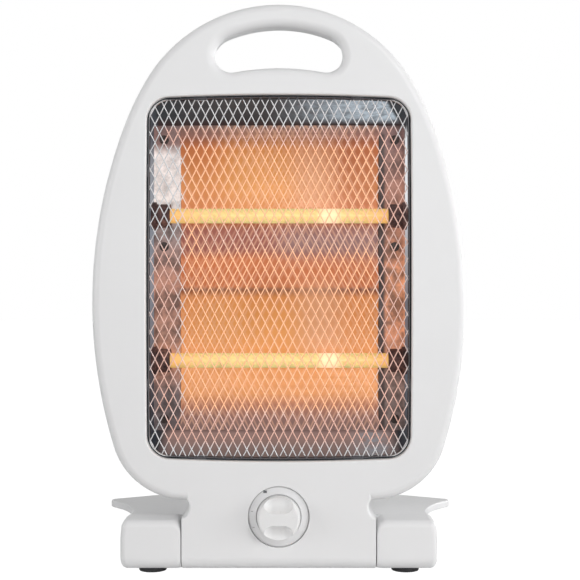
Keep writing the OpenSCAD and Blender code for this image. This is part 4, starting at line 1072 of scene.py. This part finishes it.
def camera():
    """The photograph is taken level, 750 mm before the front face."""
    data = bpy.data.cameras.new("camera")
    data.sensor_width = 36.0
    data.lens = CAMERA_LENS
    data.clip_start, data.clip_end = 0.01, 50.0
    obj = bpy.data.objects.new("camera", data)
    scene.collection.objects.link(obj)
    obj.location = place(CAMERA_SPOT)
    obj.rotation_euler = (math.radians(90), 0, 0)
    scene.camera = obj


def lamp(name, spot, aim, size, power):
    data = bpy.data.lights.new(name, "AREA")
    data.shape = "DISK"
    data.size = size
    data.energy = power
    obj = bpy.data.objects.new(name, data)
    scene.collection.objects.link(obj)
    obj.location = spot
    obj.rotation_euler = (Vector(aim) - Vector(spot)).to_track_quat("-Z", "Y").to_euler()


HORIZON, ZENITH = 0.32, 0.19     # the room's soft light, level and from above
FLOOR_SIDE = 6000.0
FLOOR_WHITENESS = 0.8            # share of plain white in the floor as the camera sees it


def studio_world():
    """Soft light that fades upwards; white to the camera and in mirrors and glass."""
    world = bpy.data.worlds.new("studio")
    scene.world = world
    world.use_nodes = True
    tree = world.node_tree
    tree.nodes.clear()
    path = add_node(tree, "ShaderNodeLightPath").outputs
    where = add_node(tree, "ShaderNodeTexCoord").outputs["Generated"]
    height = add_node(tree, "ShaderNodeSeparateXYZ", {0: where}).outputs["Z"]
    fading = add_node(tree, "ShaderNodeMapRange", {"Value": height, "From Min": -0.1, "From Max": 0.9,
                                                   "To Min": HORIZON, "To Max": ZENITH})
    white = (1.0, 1.0, 1.0, 1.0)
    soft = add_node(tree, "ShaderNodeBackground", {"Color": white, "Strength": fading.outputs[0]})
    plain = add_node(tree, "ShaderNodeBackground", {"Color": white})
    seen = add_node(tree, "ShaderNodeMath", {0: path["Is Camera Ray"], 1: path["Is Glossy Ray"]},
                    operation="MAXIMUM")
    through = add_node(tree, "ShaderNodeMath", {0: seen.outputs[0], 1: path["Is Transmission Ray"]},
                       operation="MAXIMUM")
    mix = add_node(tree, "ShaderNodeMixShader",
                   {0: through.outputs[0], 1: soft.outputs[0], 2: plain.outputs[0]})
    add_node(tree, "ShaderNodeOutputWorld", {0: mix.outputs[0]})


def pale_floor():
    corners = [(-FLOOR_SIDE, -FLOOR_SIDE), (FLOOR_SIDE, -FLOOR_SIDE),
               (FLOOR_SIDE, FLOOR_SIDE), (-FLOOR_SIDE, FLOOR_SIDE)]
    floor = make("floor", [place((x, y, 0.0)) for x, y in corners], [[0, 1, 2, 3]])
    paint = bpy.data.materials.new("floor_paint")
    paint.use_nodes = True
    tree = paint.node_tree
    tree.nodes.clear()
    camera_ray = add_node(tree, "ShaderNodeLightPath").outputs["Is Camera Ray"]
    matt = add_node(tree, "ShaderNodeBsdfDiffuse", {"Color": (0.86, 0.86, 0.86, 1.0)})
    white = add_node(tree, "ShaderNodeEmission", {"Strength": 1.25})
    share = add_node(tree, "ShaderNodeMath", {0: camera_ray, 1: FLOOR_WHITENESS}, operation="MULTIPLY")
    mix = add_node(tree, "ShaderNodeMixShader",
                   {0: share.outputs[0], 1: matt.outputs[0], 2: white.outputs[0]})
    add_node(tree, "ShaderNodeOutputMaterial", {0: mix.outputs[0]})
    floor.data.materials.append(paint)


def lamps():
    """Five soft discs; their powers were fitted to the tones of the housing in the photograph."""
    middle = (0.0, 0.0, 0.19)
    lamp("key", (1.7, -2.0, 1.8), middle, 0.8, 24.0)
    lamp("front", (0.3, -2.8, 0.3), middle, 1.2, 17.5)
    lamp("left", (-2.4, -0.9, 0.5), middle, 1.4, 21.0)
    lamp("right", (2.4, -0.9, 0.5), middle, 1.4, 27.0)
    lamp("rear", (1.9, 1.5, 0.25), middle, 1.0, 16.0)


scene.view_settings.view_transform = "Standard"
dress_cad()
camera()
studio_world()
pale_floor()
lamps()
front_shell()
rear_shell()
grille()
heating_coil("upper_coil_wire", UPPER_TUBE_Z, "upper_heating_coil")
heating_coil("lower_coil_wire", LOWER_TUBE_Z, "lower_heating_coil")
knob()
dial()
foot("right_foot_moulding", "right_foot", 1)
foot("left_foot_moulding", "left_foot", -1)
